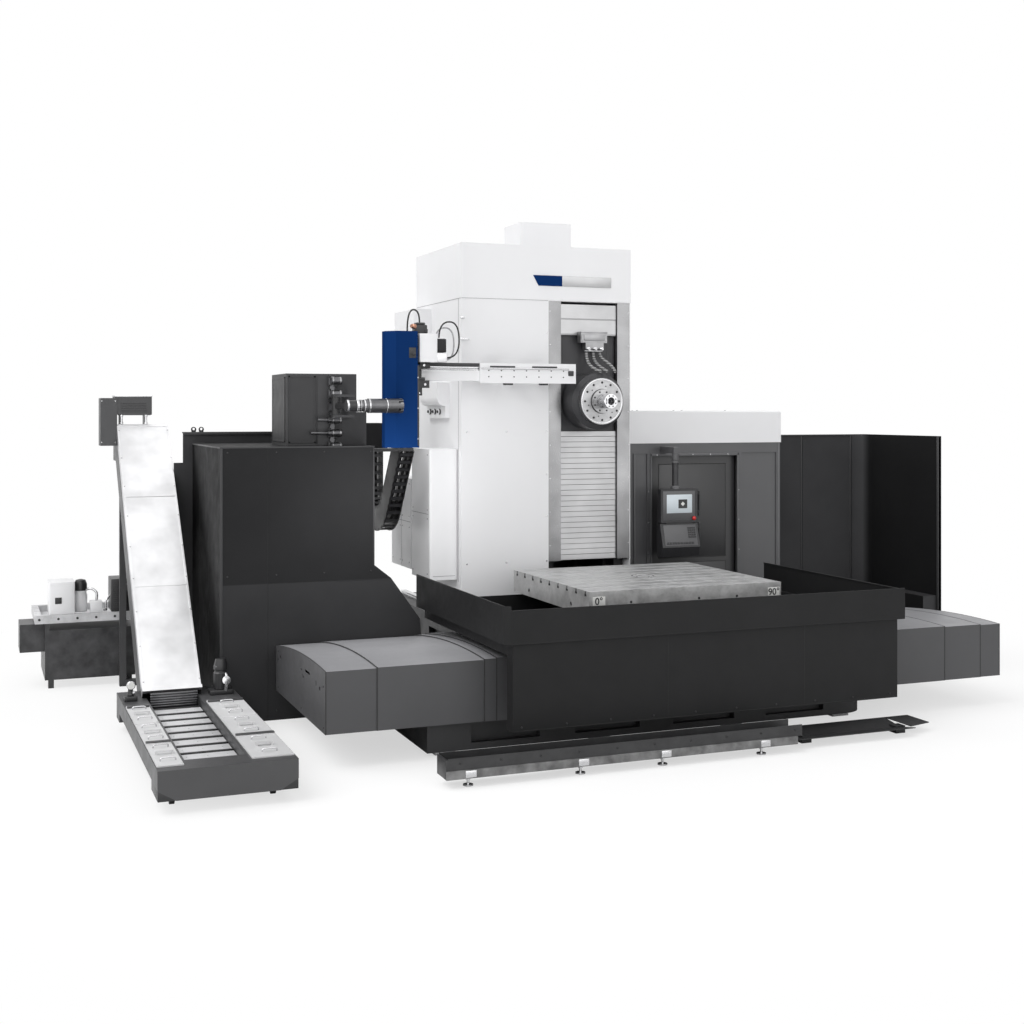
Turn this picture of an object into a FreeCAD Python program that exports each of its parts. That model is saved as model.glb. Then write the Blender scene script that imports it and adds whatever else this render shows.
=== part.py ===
"""Moving-column horizontal boring and machining center with a rotary T-slot table.

Frame: X is the table travel (to the right), Y the column travel (away from the operator
side), Z is up. The floor is Z = 0 and the origin is the middle of the floor area.
All lengths are millimetres.
"""
import FreeCAD, Part

import math
import os

V = FreeCAD.Vector

# ---------------------------------------------------------------- driving dimensions
# rotary table
TABLE_X, TABLE_Y = 620.0, -1150.0
TABLE_W, TABLE_D = 1740.0, 1600.0
TABLE_TOP, TABLE_THICK = 1185.0, 190.0
SLOT_COUNT, SLOT_PITCH = 9, 180.0
SLOT_W, SLOT_HEAD_W, SLOT_NECK, SLOT_HEAD = 22.0, 40.0, 26.0, 18.0
CENTRE_BORE_R, CENTRE_RING_R = 40.0, 100.0
# table bed and its telescopic way covers
BED_X0, BED_X1 = -1555.0, 2400.0
BED_Y0, BED_Y1 = -1880.0, -420.0
BED_BASE_TOP, BED_TOP = 300.0, 520.0
BEAM_X0, BEAM_X1 = -2300.0, 3680.0
RAIL_H, RAIL_W = 40.0, 60.0
COVER_Y0, COVER_Y1 = -1990.0, -236.0
COVER_Z0, COVER_FRONT, COVER_MID, COVER_BACK = 258.0, 735.0, 733.0, 652.0
COVER_STEP, COVER_SHEET = 7.0, 4.0
SADDLE_HALF, SADDLE_TOP = 650.0, 790.0
# splash tray that rides on the saddle
TRAY_X0, TRAY_X1, TRAY_Y0, TRAY_Y1 = -1140.0, 2363.0, -2430.0, -300.0
TRAY_FLOOR, LIP_Z0 = 800.0, 899.0
LIP_LEFT, LIP_FRONT, LIP_RIGHT = 1180.0, 1150.0, 1140.0
APRON_X0, APRON_X1, APRON_Z0 = -1067.0, 2314.0, 257.0
SHEET = 6.0
# column, its bed and the vertical slot
COL_X0, COL_X1, COL_Y0, COL_Y1 = -620.0, 1075.0, 0.0, 1325.0
COL_Z0, COL_Z1, COL_TOP = 845.0, 3620.0, 4120.0
SLOT_X0, SLOT_X1 = 360.0, 940.0
STRIP_X0, STRIP_Z0, STRIP_Z1 = 235.0, 1205.0, 3615.0
ZBED_X0, ZBED_X1, ZBED_Y0, ZBED_Y1 = -520.0, 970.0, -60.0, 2760.0
ZBED_TOP = 600.0
# headstock and spindle
SPINDLE_X, SPINDLE_Z = 650.0, 2685.0
HEAD_Z0, HEAD_Z1 = 2405.0, 3300.0
NOSE_R, RING_R, RING_Y0, RING_Y1 = 270.0, 212.0, -280.0, -220.0
SLEEVE_R, QUILL_R, QUILL_TIP = 110.0, 65.0, -470.0
# tool changer
RAIL_Y0, RAIL_Y1 = -330.0, -250.0
ATC_X0, ATC_X1, ATC_Y0, ATC_Y1 = -1456.0, -1190.0, -540.0, -366.0
ATC_Z0, ATC_Z1 = 2285.0, 3275.0
TOOL_Y, TOOL_Z = -610.0, 2640.0
ARM_X, ARM_Y = -1790.0, -70.0
# cords: faceted tubes with tangent bends
HOSE_R, CABLE_R, CORD_SIDES, BEND_SHARE = 15.0, 7.0, 8, 0.45
# tool magazine
MAG_X0, MAG_X1, MAG_Y0, MAG_Y1, MAG_TOP = -2815.0, -1495.0, -225.0, 1290.0, 2296.0
CHAIN_X, CHAIN_Y, CHAIN_PITCH = -1790.0, 60.0, 114.0
# operator cabin
CAB_X0, CAB_X1, CAB_Y0, CAB_Y1 = 1135.0, 2968.0, 370.0, 1750.0
CAB_TOP, CAB_ROOF = 2277.0, 2598.0
PENDANT_X, PENDANT_Y = 1623.0, 122.0
# right-hand splash wall
WALL_X1, WALL_Y0, WALL_Y1, WALL_TOP = 4278.0, -515.0, 720.0, 2345.0
# chip conveyor and coolant tank
CONV_X0, CONV_X1 = -3450.0, -2985.0
CONV_FOOT, CONV_HEAD = (-330.0, 330.0), (1750.0, 2468.0)
CONV_DEPTH = 330.0
TANK_X0, TANK_X1, TANK_Y0, TANK_Y1, TAIL_Y1 = -3622.0, -2705.0, -2660.0, -240.0, -20.0
TANK_Z0, TANK_TOP = 88.0, 288.0
CASTERS = [(x, y) for x in (-3500.0, -2827.0) for y in (-2405.0, -310.0)]
# oil and coolant unit at the left rear
UNIT_X0, UNIT_X1, UNIT_Y0, UNIT_Y1 = -4090.0, -3272.0, 1850.0, 2620.0
# chip trough in front of the bed
TROUGH_X0, TROUGH_X1, TROUGH_Y0, TROUGH_Y1 = -1690.0, 1160.0, -2755.0, -2560.0

os.makedirs("parts", exist_ok=True)
BUILT = {}
BENDS = []


# ---------------------------------------------------------------- small shape helpers
def box(x0, x1, y0, y1, z0, z1):
    """Axis-aligned block between the given corners."""
    return Part.makeBox(x1 - x0, y1 - y0, z1 - z0, V(x0, y0, z0))


def rod(p, axis, radius, length):
    """Solid cylinder from point p along axis."""
    return Part.makeCylinder(radius, length, V(*p), V(*axis))


def cone(p, axis, r0, r1, length):
    """Frustum from radius r0 at p to r1 at the far end."""
    return Part.makeCone(r0, r1, length, V(*p), V(*axis))


def prism(points, vector):
    """Closed polygon swept along a straight vector."""
    pts = [V(*p) for p in points]
    face = Part.Face(Part.makePolygon(pts + pts[:1]))
    return face.extrude(V(*vector))


def fuse(shapes):
    """One solid out of touching or overlapping shapes."""
    first = shapes[0]
    return first.multiFuse(shapes[1:]).removeSplitter() if len(shapes) > 1 else first


def rounded_box(x0, x1, y0, y1, z0, z1, radius):
    """Block whose four upright edges are rounded."""
    shape = box(x0, x1, y0, y1, z0, z1)
    upright = [e for e in shape.Edges if abs(e.tangentAt(0).z) > 0.99]
    return shape.makeFillet(radius, upright)


def save(name, *shapes):
    """Writes one sub-part, as one solid or as a group of separate solids."""
    solids = [s for shape in shapes for s in shape.Solids]
    part = solids[0] if len(solids) == 1 else Part.Compound(solids)
    part.exportStep("parts/" + name + ".step")
    BUILT[name] = part


def ring_of(count, radius, centre, make, start=0.0):
    """Copies made at equal angles round a Y axis through centre."""
    out = []
    for k in range(count):
        a = start + 2.0 * math.pi * k / count
        out.append(make(centre[0] + radius * math.cos(a), centre[1] + radius * math.sin(a)))
    return out


# ---------------------------------------------------------------- table bed (X axis)
def bed_x():
    """Cast bed: wide base with a rounded right end, and a long beam that carries the ways."""
    base = box(BED_X0, BED_X1, BED_Y0, BED_Y1, 30, BED_BASE_TOP)
    corner = [e for e in base.Edges if abs(e.tangentAt(0).z) > 0.99
              and e.BoundBox.XMin > BED_X1 - 1]
    base = base.makeFillet(220, corner)
    beam = prism([(BEAM_X0, -1720, BED_BASE_TOP - 30), (BEAM_X0, -1760, BED_TOP - 40),
                  (BEAM_X0, -1760, BED_TOP), (BEAM_X0, -540, BED_TOP),
                  (BEAM_X0, -540, BED_TOP - 40), (BEAM_X0, -580, BED_BASE_TOP - 30)],
                 (BEAM_X1 - BEAM_X0, 0, 0))
    groove = box(BED_X0 + 100, 2700, -1300, -1000, BED_TOP - 60, BED_TOP + 1)
    bed = fuse([base, beam]).cut(groove)
    window = 4
    pitch = (BED_X1 - BED_X0 - 500) / window
    for k in range(window):
        x = BED_X0 + 350 + k * pitch
        bed = bed.cut(box(x, x + pitch - 300, BED_Y0 - 1, BED_Y0 + 60, 80, 240))
    save("bed_x", bed)


def rail_pair(along, start, length, across, z):
    """A pair of profiled linear rails, each with a waisted section."""
    w, h = RAIL_W / 2, RAIL_H
    half = [(-w, 0), (w, 0), (w, h * 0.35), (w * 0.75, h * 0.5), (w, h * 0.7), (w, h),
            (-w, h), (-w, h * 0.7), (-w * 0.75, h * 0.5), (-w, h * 0.35)]
    solids = []
    for c in across:
        if along == "x":
            solids.append(prism([(start, c + a, z + b) for a, b in half], (length, 0, 0)))
        else:
            solids.append(prism([(c + a, start, z + b) for a, b in half], (0, length, 0)))
    return solids


def guide_rails():
    """Floor-mounted rails: one pair under the saddle and one pair under the column."""
    save("guide_rails", *rail_pair("x", -1250, 3800, (-1610, -690), BED_TOP),
         *rail_pair("y", 60, 2660, (-330, 780), ZBED_TOP))


def x_saddle():
    """Saddle on the X ways: body, four rail trucks and the seat of the table bearing."""
    x0, x1 = TABLE_X - SADDLE_HALF, TABLE_X + SADDLE_HALF
    body = box(x0, x1, -1860, -440, 605, SADDLE_TOP)
    seat = rod((TABLE_X, TABLE_Y, SADDLE_TOP - 1), (0, 0, 1), 590, 111)
    trucks = []
    for x in (x0 + 20, x1 - 320):
        for y in (-1610, -690):
            trucks.append(box(x, x + 300, y - 75, y + 75, 526, 606))
    saddle = fuse([body, seat] + trucks)
    for y in (-1610, -690):
        saddle = saddle.cut(box(x0 - 1, x1 + 1, y - 31, y + 31, 500, 562))
    save("x_saddle", saddle)


# ---------------------------------------------------------------- telescopic way covers
def cover_profile(inset, x):
    """Outline of a way cover: upright front and back, crowned sheet top, open below."""
    y0, y1 = COVER_Y0 + inset, COVER_Y1 - inset
    ymid = 0.6 * y0 + 0.4 * y1
    left = V(x, y0, COVER_FRONT - inset)
    right = V(x, y1, COVER_BACK - inset)
    top = Part.Arc(left, V(x, ymid, COVER_MID - inset + 12), right).toShape()
    pts = [right, V(x, y1, COVER_Z0), V(x, y0, COVER_Z0), left]
    sides = [Part.LineSegment(pts[i], pts[i + 1]).toShape() for i in range(3)]
    return Part.Face(Part.Wire([top] + sides))


def way_cover(name, x0, x1, level, end=None):
    """One telescopic section; level 0 is the widest. end closes the left or right side."""
    inset = level * COVER_STEP
    outer = cover_profile(inset, x0).extrude(V(x1 - x0, 0, 0))
    inner = cover_profile(inset + COVER_SHEET, x0)
    lowered = inner.extrude(V(x1 - x0, 0, 0))
    lowered = lowered.fuse(box(x0, x1, COVER_Y0 + inset + COVER_SHEET,
                               COVER_Y1 - inset - COVER_SHEET, COVER_Z0 - 5, COVER_Z0 + 60))
    shell = outer.cut(lowered)
    if end:
        x = x0 if end == "left" else x1 - COVER_SHEET
        plate = cover_profile(inset, x).extrude(V(COVER_SHEET, 0, 0))
        for y in (-1800, -430):
            plate = plate.cut(rod((x - 1, y, 560), (1, 0, 0), 18, COVER_SHEET + 2))
        plate = plate.cut(box(x - 1, x + COVER_SHEET + 1, -1480, -1330, 600, 622))
        shell = fuse([shell, plate])
    save(name, shell)


def way_covers():
    """Four telescopic sections on each side of the saddle."""
    left = ((-2356, -1395, 3, "left"), (-1973, -700, 2, None), (-1140, -420, 1, None),
            (-1045, TABLE_X - SADDLE_HALF, 0, None))
    right = ((3150, 3735, 3, "right"), (2690, 3519, 2, None), (1760, 3129, 1, None),
             (TABLE_X + SADDLE_HALF, 2295, 0, None))
    for side, sections in (("left", left), ("right", right)):
        for k, (x0, x1, level, end) in enumerate(sections):
            way_cover("way_cover_%s_%d" % (side, k + 1), x0, x1, level, end)


# ---------------------------------------------------------------- splash tray
def splash_tray():
    """Folded sheet tray round the table, with a raised lip and a deep front apron."""
    cx0, cx1 = APRON_X0, APRON_X1
    y0, y1 = TRAY_Y0 + 36, TRAY_Y1 - 10
    pan = box(cx0, cx1, y0, y1, TRAY_FLOOR, TRAY_FLOOR + SHEET)
    collar = rod((TABLE_X, TABLE_Y, TRAY_FLOOR), (0, 0, 1), 646, 70)
    opening = rod((TABLE_X, TABLE_Y, TRAY_FLOOR - 1), (0, 0, 1), 640, 80)
    walls = [box(cx0, cx0 + SHEET, y0, y1, TRAY_FLOOR, LIP_Z0 + SHEET),
             box(cx1 - SHEET, cx1, y0, y1, TRAY_FLOOR, LIP_Z0 + SHEET),
             box(cx0, cx1, y1 - SHEET, y1, TRAY_FLOOR, 960),
             box(cx0, cx1, y0, y0 + SHEET, APRON_Z0, LIP_Z0 + SHEET),
             box(cx0, cx0 + SHEET, y0, y0 + 120, APRON_Z0, LIP_Z0),
             box(cx1 - SHEET, cx1, y0, y0 + 120, APRON_Z0, LIP_Z0)]
    lips = [box(TRAY_X0, TRAY_X0 + SHEET, TRAY_Y0 + 45, TRAY_Y1, LIP_Z0, LIP_LEFT),
            box(TRAY_X0, cx0 + SHEET, TRAY_Y0 + 45, TRAY_Y1, LIP_Z0, LIP_Z0 + SHEET),
            box(TRAY_X1 - SHEET, TRAY_X1, TRAY_Y0, TRAY_Y1, LIP_Z0, LIP_RIGHT),
            box(cx1 - SHEET, TRAY_X1, TRAY_Y0, TRAY_Y1, LIP_Z0, LIP_Z0 + SHEET),
            box(TRAY_X0 + 45, TRAY_X1, TRAY_Y0, TRAY_Y0 + SHEET, LIP_Z0, LIP_FRONT),
            box(TRAY_X0 + 45, TRAY_X1, TRAY_Y0, y0 + SHEET, LIP_Z0, LIP_Z0 + SHEET)]
    a, b = TRAY_X0, TRAY_Y0
    corner = prism([(a, b + 45, LIP_Z0), (a + 45, b, LIP_Z0), (a + 45, b + SHEET, LIP_Z0),
                    (a + SHEET, b + 45, LIP_Z0)], (0, 0, LIP_LEFT - LIP_Z0))
    tray = fuse([pan, collar] + walls + lips + [corner]).cut(opening)
    save("splash_tray", tray)


# ---------------------------------------------------------------- rotary table
def rotary_table():
    """T-slotted plate with a round foot, a bored centre and lifting holes."""
    x0, x1 = TABLE_X - TABLE_W / 2, TABLE_X + TABLE_W / 2
    y0, y1 = TABLE_Y - TABLE_D / 2, TABLE_Y + TABLE_D / 2
    z0 = TABLE_TOP - TABLE_THICK
    plate = box(x0, x1, y0, y1, z0, TABLE_TOP)
    foot = rod((TABLE_X, TABLE_Y, 903), (0, 0, 1), 620, z0 - 902)
    table = fuse([plate, foot])
    cuts = []
    for k in range(SLOT_COUNT):
        y = TABLE_Y + (k - (SLOT_COUNT - 1) / 2) * SLOT_PITCH
        zn = TABLE_TOP - SLOT_NECK
        w, h = SLOT_W / 2, SLOT_HEAD_W / 2
        section = [(y - w, TABLE_TOP + 1), (y + w, TABLE_TOP + 1), (y + w, zn), (y + h, zn),
                   (y + h, zn - SLOT_HEAD), (y - h, zn - SLOT_HEAD), (y - h, zn), (y - w, zn)]
        cuts.append(prism([(x0 - 1, p, q) for p, q in section], (TABLE_W + 2, 0, 0)))
    hub = rod((TABLE_X, TABLE_Y, TABLE_TOP - 45), (0, 0, 1), CENTRE_RING_R, 45)
    bore = rod((TABLE_X, TABLE_Y, TABLE_TOP - 160), (0, 0, 1), CENTRE_BORE_R, 161)
    for x in (x0 + 420, x1 - 420):
        cuts.append(rod((x, y0 - 1, z0 + 55), (0, 1, 0), 15, 60))
    for y in (y0 + 360, y1 - 360):
        cuts.append(rod((x0 - 1, y, z0 + 55), (1, 0, 0), 15, 60))
    for cut in cuts:
        table = table.cut(cut)
    table = table.fuse(hub).cut(bore).removeSplitter()
    save("rotary_table", table)


# ---------------------------------------------------------------- column bed (Z axis)
def bed_z():
    """Cast bed under the column, with a sunk centre channel and windows in its flanks."""
    bed = box(ZBED_X0, ZBED_X1, ZBED_Y0, ZBED_Y1, 30, ZBED_TOP)
    channel = box(95, 355, ZBED_Y0 + 60, ZBED_Y1 - 60, ZBED_TOP - 150, ZBED_TOP + 1)
    bridge = box(ZBED_X0 + 100, ZBED_X1 - 100, BED_Y1, ZBED_Y0, 30, 220)
    bed = fuse([bed.cut(channel), bridge])
    for x in (ZBED_X0 - 1, ZBED_X1 - 59):
        for k in range(4):
            y = ZBED_Y0 + 250 + 640 * k
            bed = bed.cut(box(x, x + 60, y, y + 420, 120, 470))
    save("bed_z", bed)


def pleats(x0, x1, y0, y1, z0, z1, count, depth):
    """Folded bellows roof over the ways: a zigzag section that bridges the full width."""
    step = (y1 - y0) / count
    top, bottom = [], []
    for k in range(count):
        top += [(x0, y0 + k * step, z1 - depth), (x0, y0 + (k + 0.5) * step, z1)]
        bottom += [(x0, y0 + k * step, z0), (x0, y0 + (k + 0.5) * step, z0 + depth)]
    top.append((x0, y1, z1 - depth))
    bottom.append((x0, y1, z0))
    return prism(top + bottom[::-1], (x1 - x0, 0, 0))


# ---------------------------------------------------------------- column
def column_foot():
    """Foot plate of the column with four trucks that run on the floor-mounted rails."""
    parts = [box(-560, 1015, 130, 1290, 690, COL_Z0)]
    for x in (-330, 780):
        for y in (160, 960):
            parts.append(box(x - 75, x + 75, y, y + 300, 606, 691))
    foot = fuse(parts)
    for x in (-330, 780):
        foot = foot.cut(box(x - 31, x + 31, 100, 1300, 560, 643))
    return foot


def column_casting():
    """Twin-post casting on its foot, open to the front, with the vertical rails inside."""
    left = box(-480, 335, 130, 1250, COL_Z0, 3540)
    right = box(965, 1055, 130, 1250, COL_Z0, 3540)
    rear = box(335, 965, 1190, 1250, COL_Z0, 3540)
    cap = box(335, 965, 400, 1190, 3505, 3540)
    sill = box(335, 965, 130, 1190, COL_Z0, COL_Z0 + 60)
    core = box(-420, 275, 190, 1190, COL_Z0 + 60, 3480)
    ribs = [box(335, 965, 1130, 1191, z, z + 50) for z in (1500, 2150, 2800)]
    ways = []
    for x0, x1 in ((335, 370), (930, 965)):
        for y in (330, 1000):
            ways.append(box(x0, x1, y - RAIL_W / 2, y + RAIL_W / 2, 1000, 3460))
    save("column_casting", fuse([left.cut(core), right, rear, cap, sill, column_foot()] + ribs + ways))


def column_cover():
    """Sheet housing of the column: left front panel, both sides, back, and the shoulders."""
    t = SHEET
    outer = box(COL_X0, COL_X1, COL_Y0, COL_Y1, COL_Z0, COL_Z1)
    inner = box(COL_X0 + t, COL_X1 - t, COL_Y0 + t, COL_Y1 - t, COL_Z0 - 1, COL_Z1 - t)
    front = box(STRIP_X0, COL_X1 - t, COL_Y0 - 1, COL_Y0 + t + 1, COL_Z0 - 1, STRIP_Z1)
    cover = outer.cut(inner).cut(front)
    seat = box(COL_X0 + t, STRIP_X0, COL_Y0 + t, COL_Y0 + 30, COL_Z0, COL_Z0 + 4)
    save("column_cover", cover.fuse(seat).removeSplitter())


def slot_strips():
    """Stainless guide strips on both sides of the vertical slot, each with a folded return."""
    solids = []
    for x0, x1, fold in ((STRIP_X0, SLOT_X0, SLOT_X0 - 4), (SLOT_X1, COL_X1 - SHEET, SLOT_X1)):
        face = box(x0, x1, COL_Y0, COL_Y0 + 4, STRIP_Z0 + 32, STRIP_Z1 - 1)
        lip = box(fold, fold + 4, COL_Y0, COL_Y0 + 90, STRIP_Z0 + 32, STRIP_Z1 - 1)
        solids.append(fuse([face, lip]))
        solids.append(box(x0, x1, COL_Y0, COL_Y0 + 26, STRIP_Z0, STRIP_Z0 + 32))
    save("slot_strips", *solids)


def top_housing():
    """Upper housing of the column with the flanged air duct on its roof."""
    t = SHEET
    x0, x1, y0, y1 = COL_X0 - 4, COL_X1 + 4, COL_Y0 - 6, COL_Y1 + 4
    shell = box(x0, x1, y0, y1, COL_Z1, COL_TOP)
    shell = shell.cut(box(x0 + t, x1 - t, y0 + t, y1 - t, COL_Z1 - 1, COL_TOP - t))
    flange = box(46, 602, 250, 710, COL_TOP, COL_TOP + 6)
    duct = box(66, 582, 270, 690, COL_TOP, 4372)
    bore = box(72, 576, 276, 684, COL_TOP - 10, 4366)
    save("column_top_housing", fuse([shell, flange, duct]).cut(bore))


def side_cabinets():
    """Service cabinets and boxes on the left flank of the column."""
    tall = rounded_box(-892, COL_X0, 90, 640, 1067, 2250, 24)
    low = box(-892, COL_X0, 640, 1275, 1112, 1960)
    high = box(-790, COL_X0, 860, 1520, 3150, 3575)
    cover = box(-740, COL_X0, 330, 850, 2640, 2860)
    cover = cover.makeFillet(80, [e for e in cover.Edges if e.BoundBox.ZMax < 2641
                                  and e.BoundBox.XMax < -739])
    plate = box(-660, COL_X0, 330, 900, 2530, 2640)
    plugs = [rod((-660, y, 2590), (-1, 0, 0), 24, 22) for y in (480, 620, 760)]
    save("column_cabinets", fuse([tall, low]), high, fuse([cover, plate] + plugs))


def slat_cover(name, z0, z1, count, y0, y1):
    """Slatted apron in the slot: overlapping slats, each with a sloped lower edge."""
    step = (z1 - z0) / count
    front = []
    for k in range(count):
        z = z0 + k * step
        front += [(366, y0 + 6, z), (366, y0, z + 7), (366, y0, z + step)]
    outline = front + [(366, y1, z1), (366, y1, z0)]
    save(name, prism(outline, (568, 0, 0)))


# ---------------------------------------------------------------- headstock
def headstock():
    """Headstock body with its dark face plate, round nose, rail trucks and spindle bore."""
    plate = box(368, 932, 60, 120, HEAD_Z0, HEAD_Z1)
    body = box(410, 890, 110, 1120, HEAD_Z0 + 30, HEAD_Z1 - 60)
    nose = rod((SPINDLE_X, 70, SPINDLE_Z), (0, -1, 0), NOSE_R - 10, 260)
    cap = cone((SPINDLE_X, -190, SPINDLE_Z), (0, -1, 0), NOSE_R - 10, RING_R + 6, 30)
    trucks = []
    for y in (330, 1000):
        for z in (HEAD_Z0 + 80, HEAD_Z1 - 330):
            trucks.append(box(374, 411, y - 80, y + 80, z, z + 240))
            trucks.append(box(889, 926, y - 80, y + 80, z, z + 240))
    head = fuse([plate, body, nose, cap] + trucks)
    head = head.cut(rod((SPINDLE_X, -230, SPINDLE_Z), (0, 1, 0), SLEEVE_R + 4, 380))
    head = head.cut(rod((SPINDLE_X, 140, SPINDLE_Z), (0, 1, 0), QUILL_R + 3, 900))
    save("headstock", head)


def spindle_flange():
    """Bolted ring on the nose, with a circle of bolt holes."""
    ring = rod((SPINDLE_X, RING_Y0, SPINDLE_Z), (0, 1, 0), RING_R, RING_Y1 - RING_Y0)
    ring = ring.cut(rod((SPINDLE_X, RING_Y0 - 1, SPINDLE_Z), (0, 1, 0), SLEEVE_R + 4, 80))
    holes = ring_of(12, 172, (SPINDLE_X, SPINDLE_Z),
                    lambda x, z: rod((x, RING_Y0 - 1, z), (0, 1, 0), 11, 22))
    for hole in holes:
        ring = ring.cut(hole)
    save("spindle_flange", ring)


def spindle_sleeve():
    """Rotating milling sleeve with two drive keys round the boring spindle."""
    sleeve = rod((SPINDLE_X, RING_Y0 - 22, SPINDLE_Z), (0, 1, 0), SLEEVE_R, 430)
    keys = [box(SPINDLE_X + s * 88 - 14, SPINDLE_X + s * 88 + 14, RING_Y0 - 36, RING_Y0 - 10,
                SPINDLE_Z - 16, SPINDLE_Z + 16) for s in (-1, 1)]
    sleeve = fuse([sleeve] + keys)
    sleeve = sleeve.cut(rod((SPINDLE_X, RING_Y0 - 50, SPINDLE_Z), (0, 1, 0), QUILL_R + 1, 470))
    save("spindle_sleeve", sleeve)


def boring_spindle():
    """Boring spindle with a 7:24 taper socket and two driving slots in its nose."""
    length, gauge, depth = 1120, 34.925, 101.8
    bar = rod((SPINDLE_X, QUILL_TIP, SPINDLE_Z), (0, 1, 0), QUILL_R, length)
    taper = cone((SPINDLE_X, QUILL_TIP - 0.01, SPINDLE_Z), (0, 1, 0), gauge,
                 gauge - depth * 7 / 48, depth)
    draw = rod((SPINDLE_X, QUILL_TIP, SPINDLE_Z), (0, 1, 0), 14, 260)
    bar = bar.cut(taper).cut(draw)
    for s in (-1, 1):
        bar = bar.cut(box(SPINDLE_X + s * 52 - 14, SPINDLE_X + s * 52 + 14, QUILL_TIP - 1,
                          QUILL_TIP + 14, SPINDLE_Z - 13, SPINDLE_Z + 13))
    save("boring_spindle", bar)


def cord_section(centre, direction, side, radius):
    """Faceted section of a cord, square to its direction, with its first corner on side."""
    across = direction.cross(side).normalize()
    corners = []
    for k in range(CORD_SIDES):
        a = 2 * math.pi * k / CORD_SIDES
        corners.append(centre + side * (radius * math.cos(a)) + across * (radius * math.sin(a)))
    return Part.Face(Part.makePolygon(corners + corners[:1]))


def tube(points, radius):
    """Cord along straight runs joined by tangent arcs: extruded and revolved sections."""
    pts = [V(*p) for p in points]
    pieces, last = [], pts[0]
    side = (pts[1] - pts[0]).cross(V(1, 2, 3)).normalize()
    for a, b, c in zip(pts, pts[1:], pts[2:]):
        u, w = (a - b), (c - b)
        cutoff = BEND_SHARE * min(u.Length, w.Length)
        u.normalize()
        w.normalize()
        half = u.getAngle(w) / 2
        centre = b + (u + w).normalize() * (cutoff / math.cos(half))
        start, turn, axis = b + u * cutoff, 180.0 - math.degrees(2 * half), w.cross(u)
        pieces.append(cord_section(last, u, side, radius).extrude(start - last))
        pieces.append(cord_section(start, u, side, radius).revolve(centre, axis, turn))
        side = FreeCAD.Rotation(axis, turn).multVec(side)
        last = b + w * cutoff
        BENDS.append(cutoff * math.tan(half))
    run = pts[-1] - last
    pieces.append(cord_section(last, V(run).normalize(), side, radius).extrude(run))
    return fuse(pieces)


def coolant_nozzles():
    """Nozzle manifold above the spindle nose, with three bent hoses hanging from it."""
    block = box(535, 805, -60, 16, 3232, 3335)
    bridge = box(560, 780, 10, 60, 3236, 3296)
    head = box(585, 770, -60, 16, 3172, 3233)
    taps = [rod((x, -20, 3150), (0, 0, 1), 18, 30) for x in (610, 680, 745)]
    save("coolant_manifold", fuse([block, bridge, head] + taps))
    routes = (((610, -20, 3150), (610, -20, 3070), (622, -140, 2985), (668, -215, 2962)),
              ((680, -20, 3150), (680, -20, 3075), (694, -160, 2995), (722, -235, 2964)),
              ((745, -20, 3150), (745, -20, 3100), (822, -130, 3020), (808, -225, 2962)))
    save("coolant_hoses", *[tube(route, HOSE_R) for route in routes])


# ---------------------------------------------------------------- tool changer
def atc_rail():
    """Cantilever rail beam in front of the column, a narrow beam and a wide end plate."""
    beam = box(-1107, 340, RAIL_Y0 + 20, RAIL_Y1 + 40, 2861, 2951)
    plate = box(-560, 363, RAIL_Y0, RAIL_Y0 + 22, 2843, 3020)
    shelf = box(-560, 363, RAIL_Y0, RAIL_Y1 + 40, 3008, 3020)
    strut = [box(x, x + 90, RAIL_Y1 + 30, COL_Y0, 2868, 2944) for x in (-520, -190, 110)]
    rail = fuse([beam, plate, shelf] + strut)
    rail = rail.cut(rod((318, RAIL_Y0 - 1, 2932), (0, 1, 0), 22, 14))
    save("atc_rail", rail)


def atc_carriage():
    """Carriage on the rail: back plate, drive housing, motors and the two dark brackets."""
    plate = box(-1290, -1112, -362, RAIL_Y0 - 2, 2770, 3240)
    house = box(-1178, -1020, -520, -362, 3015, 3258)
    motor = box(-1020, -930, -500, -400, 3100, 3215)
    step = box(-1020, -925, -500, -400, 3015, 3095)
    top = box(-1200, -1095, -470, -366, 3258, 3355)
    link = box(-1203, -1160, -440, -362, 3225, 3290)
    upper = box(-1150, -1050, -420, -362, 2960, 3016)
    lower = prism([(-1170, -420, 2860), (-1060, -420, 2860), (-1060, -420, 2800),
                   (-1150, -420, 2730), (-1170, -420, 2730)], (0, 58, 0))
    save("atc_carriage", fuse([plate, house, motor, step, top, link, upper, lower]))


def atc_hood():
    """Folded sheet hood of the gripper: chamfered front left edge, sloped top corner."""
    x0, x1, y0, y1 = ATC_X0, ATC_X1, ATC_Y0, ATC_Y1
    plan = [(x0 - 12, y1, ATC_Z0), (x0 - 12, y0 + 90, ATC_Z0), (x0 + 62, y0, ATC_Z0),
            (x1, y0, ATC_Z0), (x1, y1, ATC_Z0)]
    hood = prism(plan, (0, 0, ATC_Z1 - ATC_Z0))
    hood = hood.cut(box(x1 - 14, x1 + 1, y0 - 1, y1 + 1, 2990, ATC_Z1 + 1))
    inner = [(x0 - 4, y1 + 1, ATC_Z0 - 1), (x0 - 4, y0 + 94, ATC_Z0 - 1), (x0 + 66, y0 + 8, ATC_Z0 - 1),
             (x1 - 22, y0 + 8, ATC_Z0 - 1), (x1 - 22, y1 + 1, ATC_Z0 - 1)]
    hood = hood.cut(prism(inner, (0, 0, ATC_Z1 - ATC_Z0 - 7)))
    spine = box(x0 + 90, x0 + 150, y1 - 60, y1, ATC_Z0 + 60, ATC_Z1 - 6)
    jaw = box(x0 + 60, x1 - 60, y0 + 40, y1 - 10, 2595, 2680)
    save("atc_hood", fuse([hood, spine, jaw]))


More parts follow.
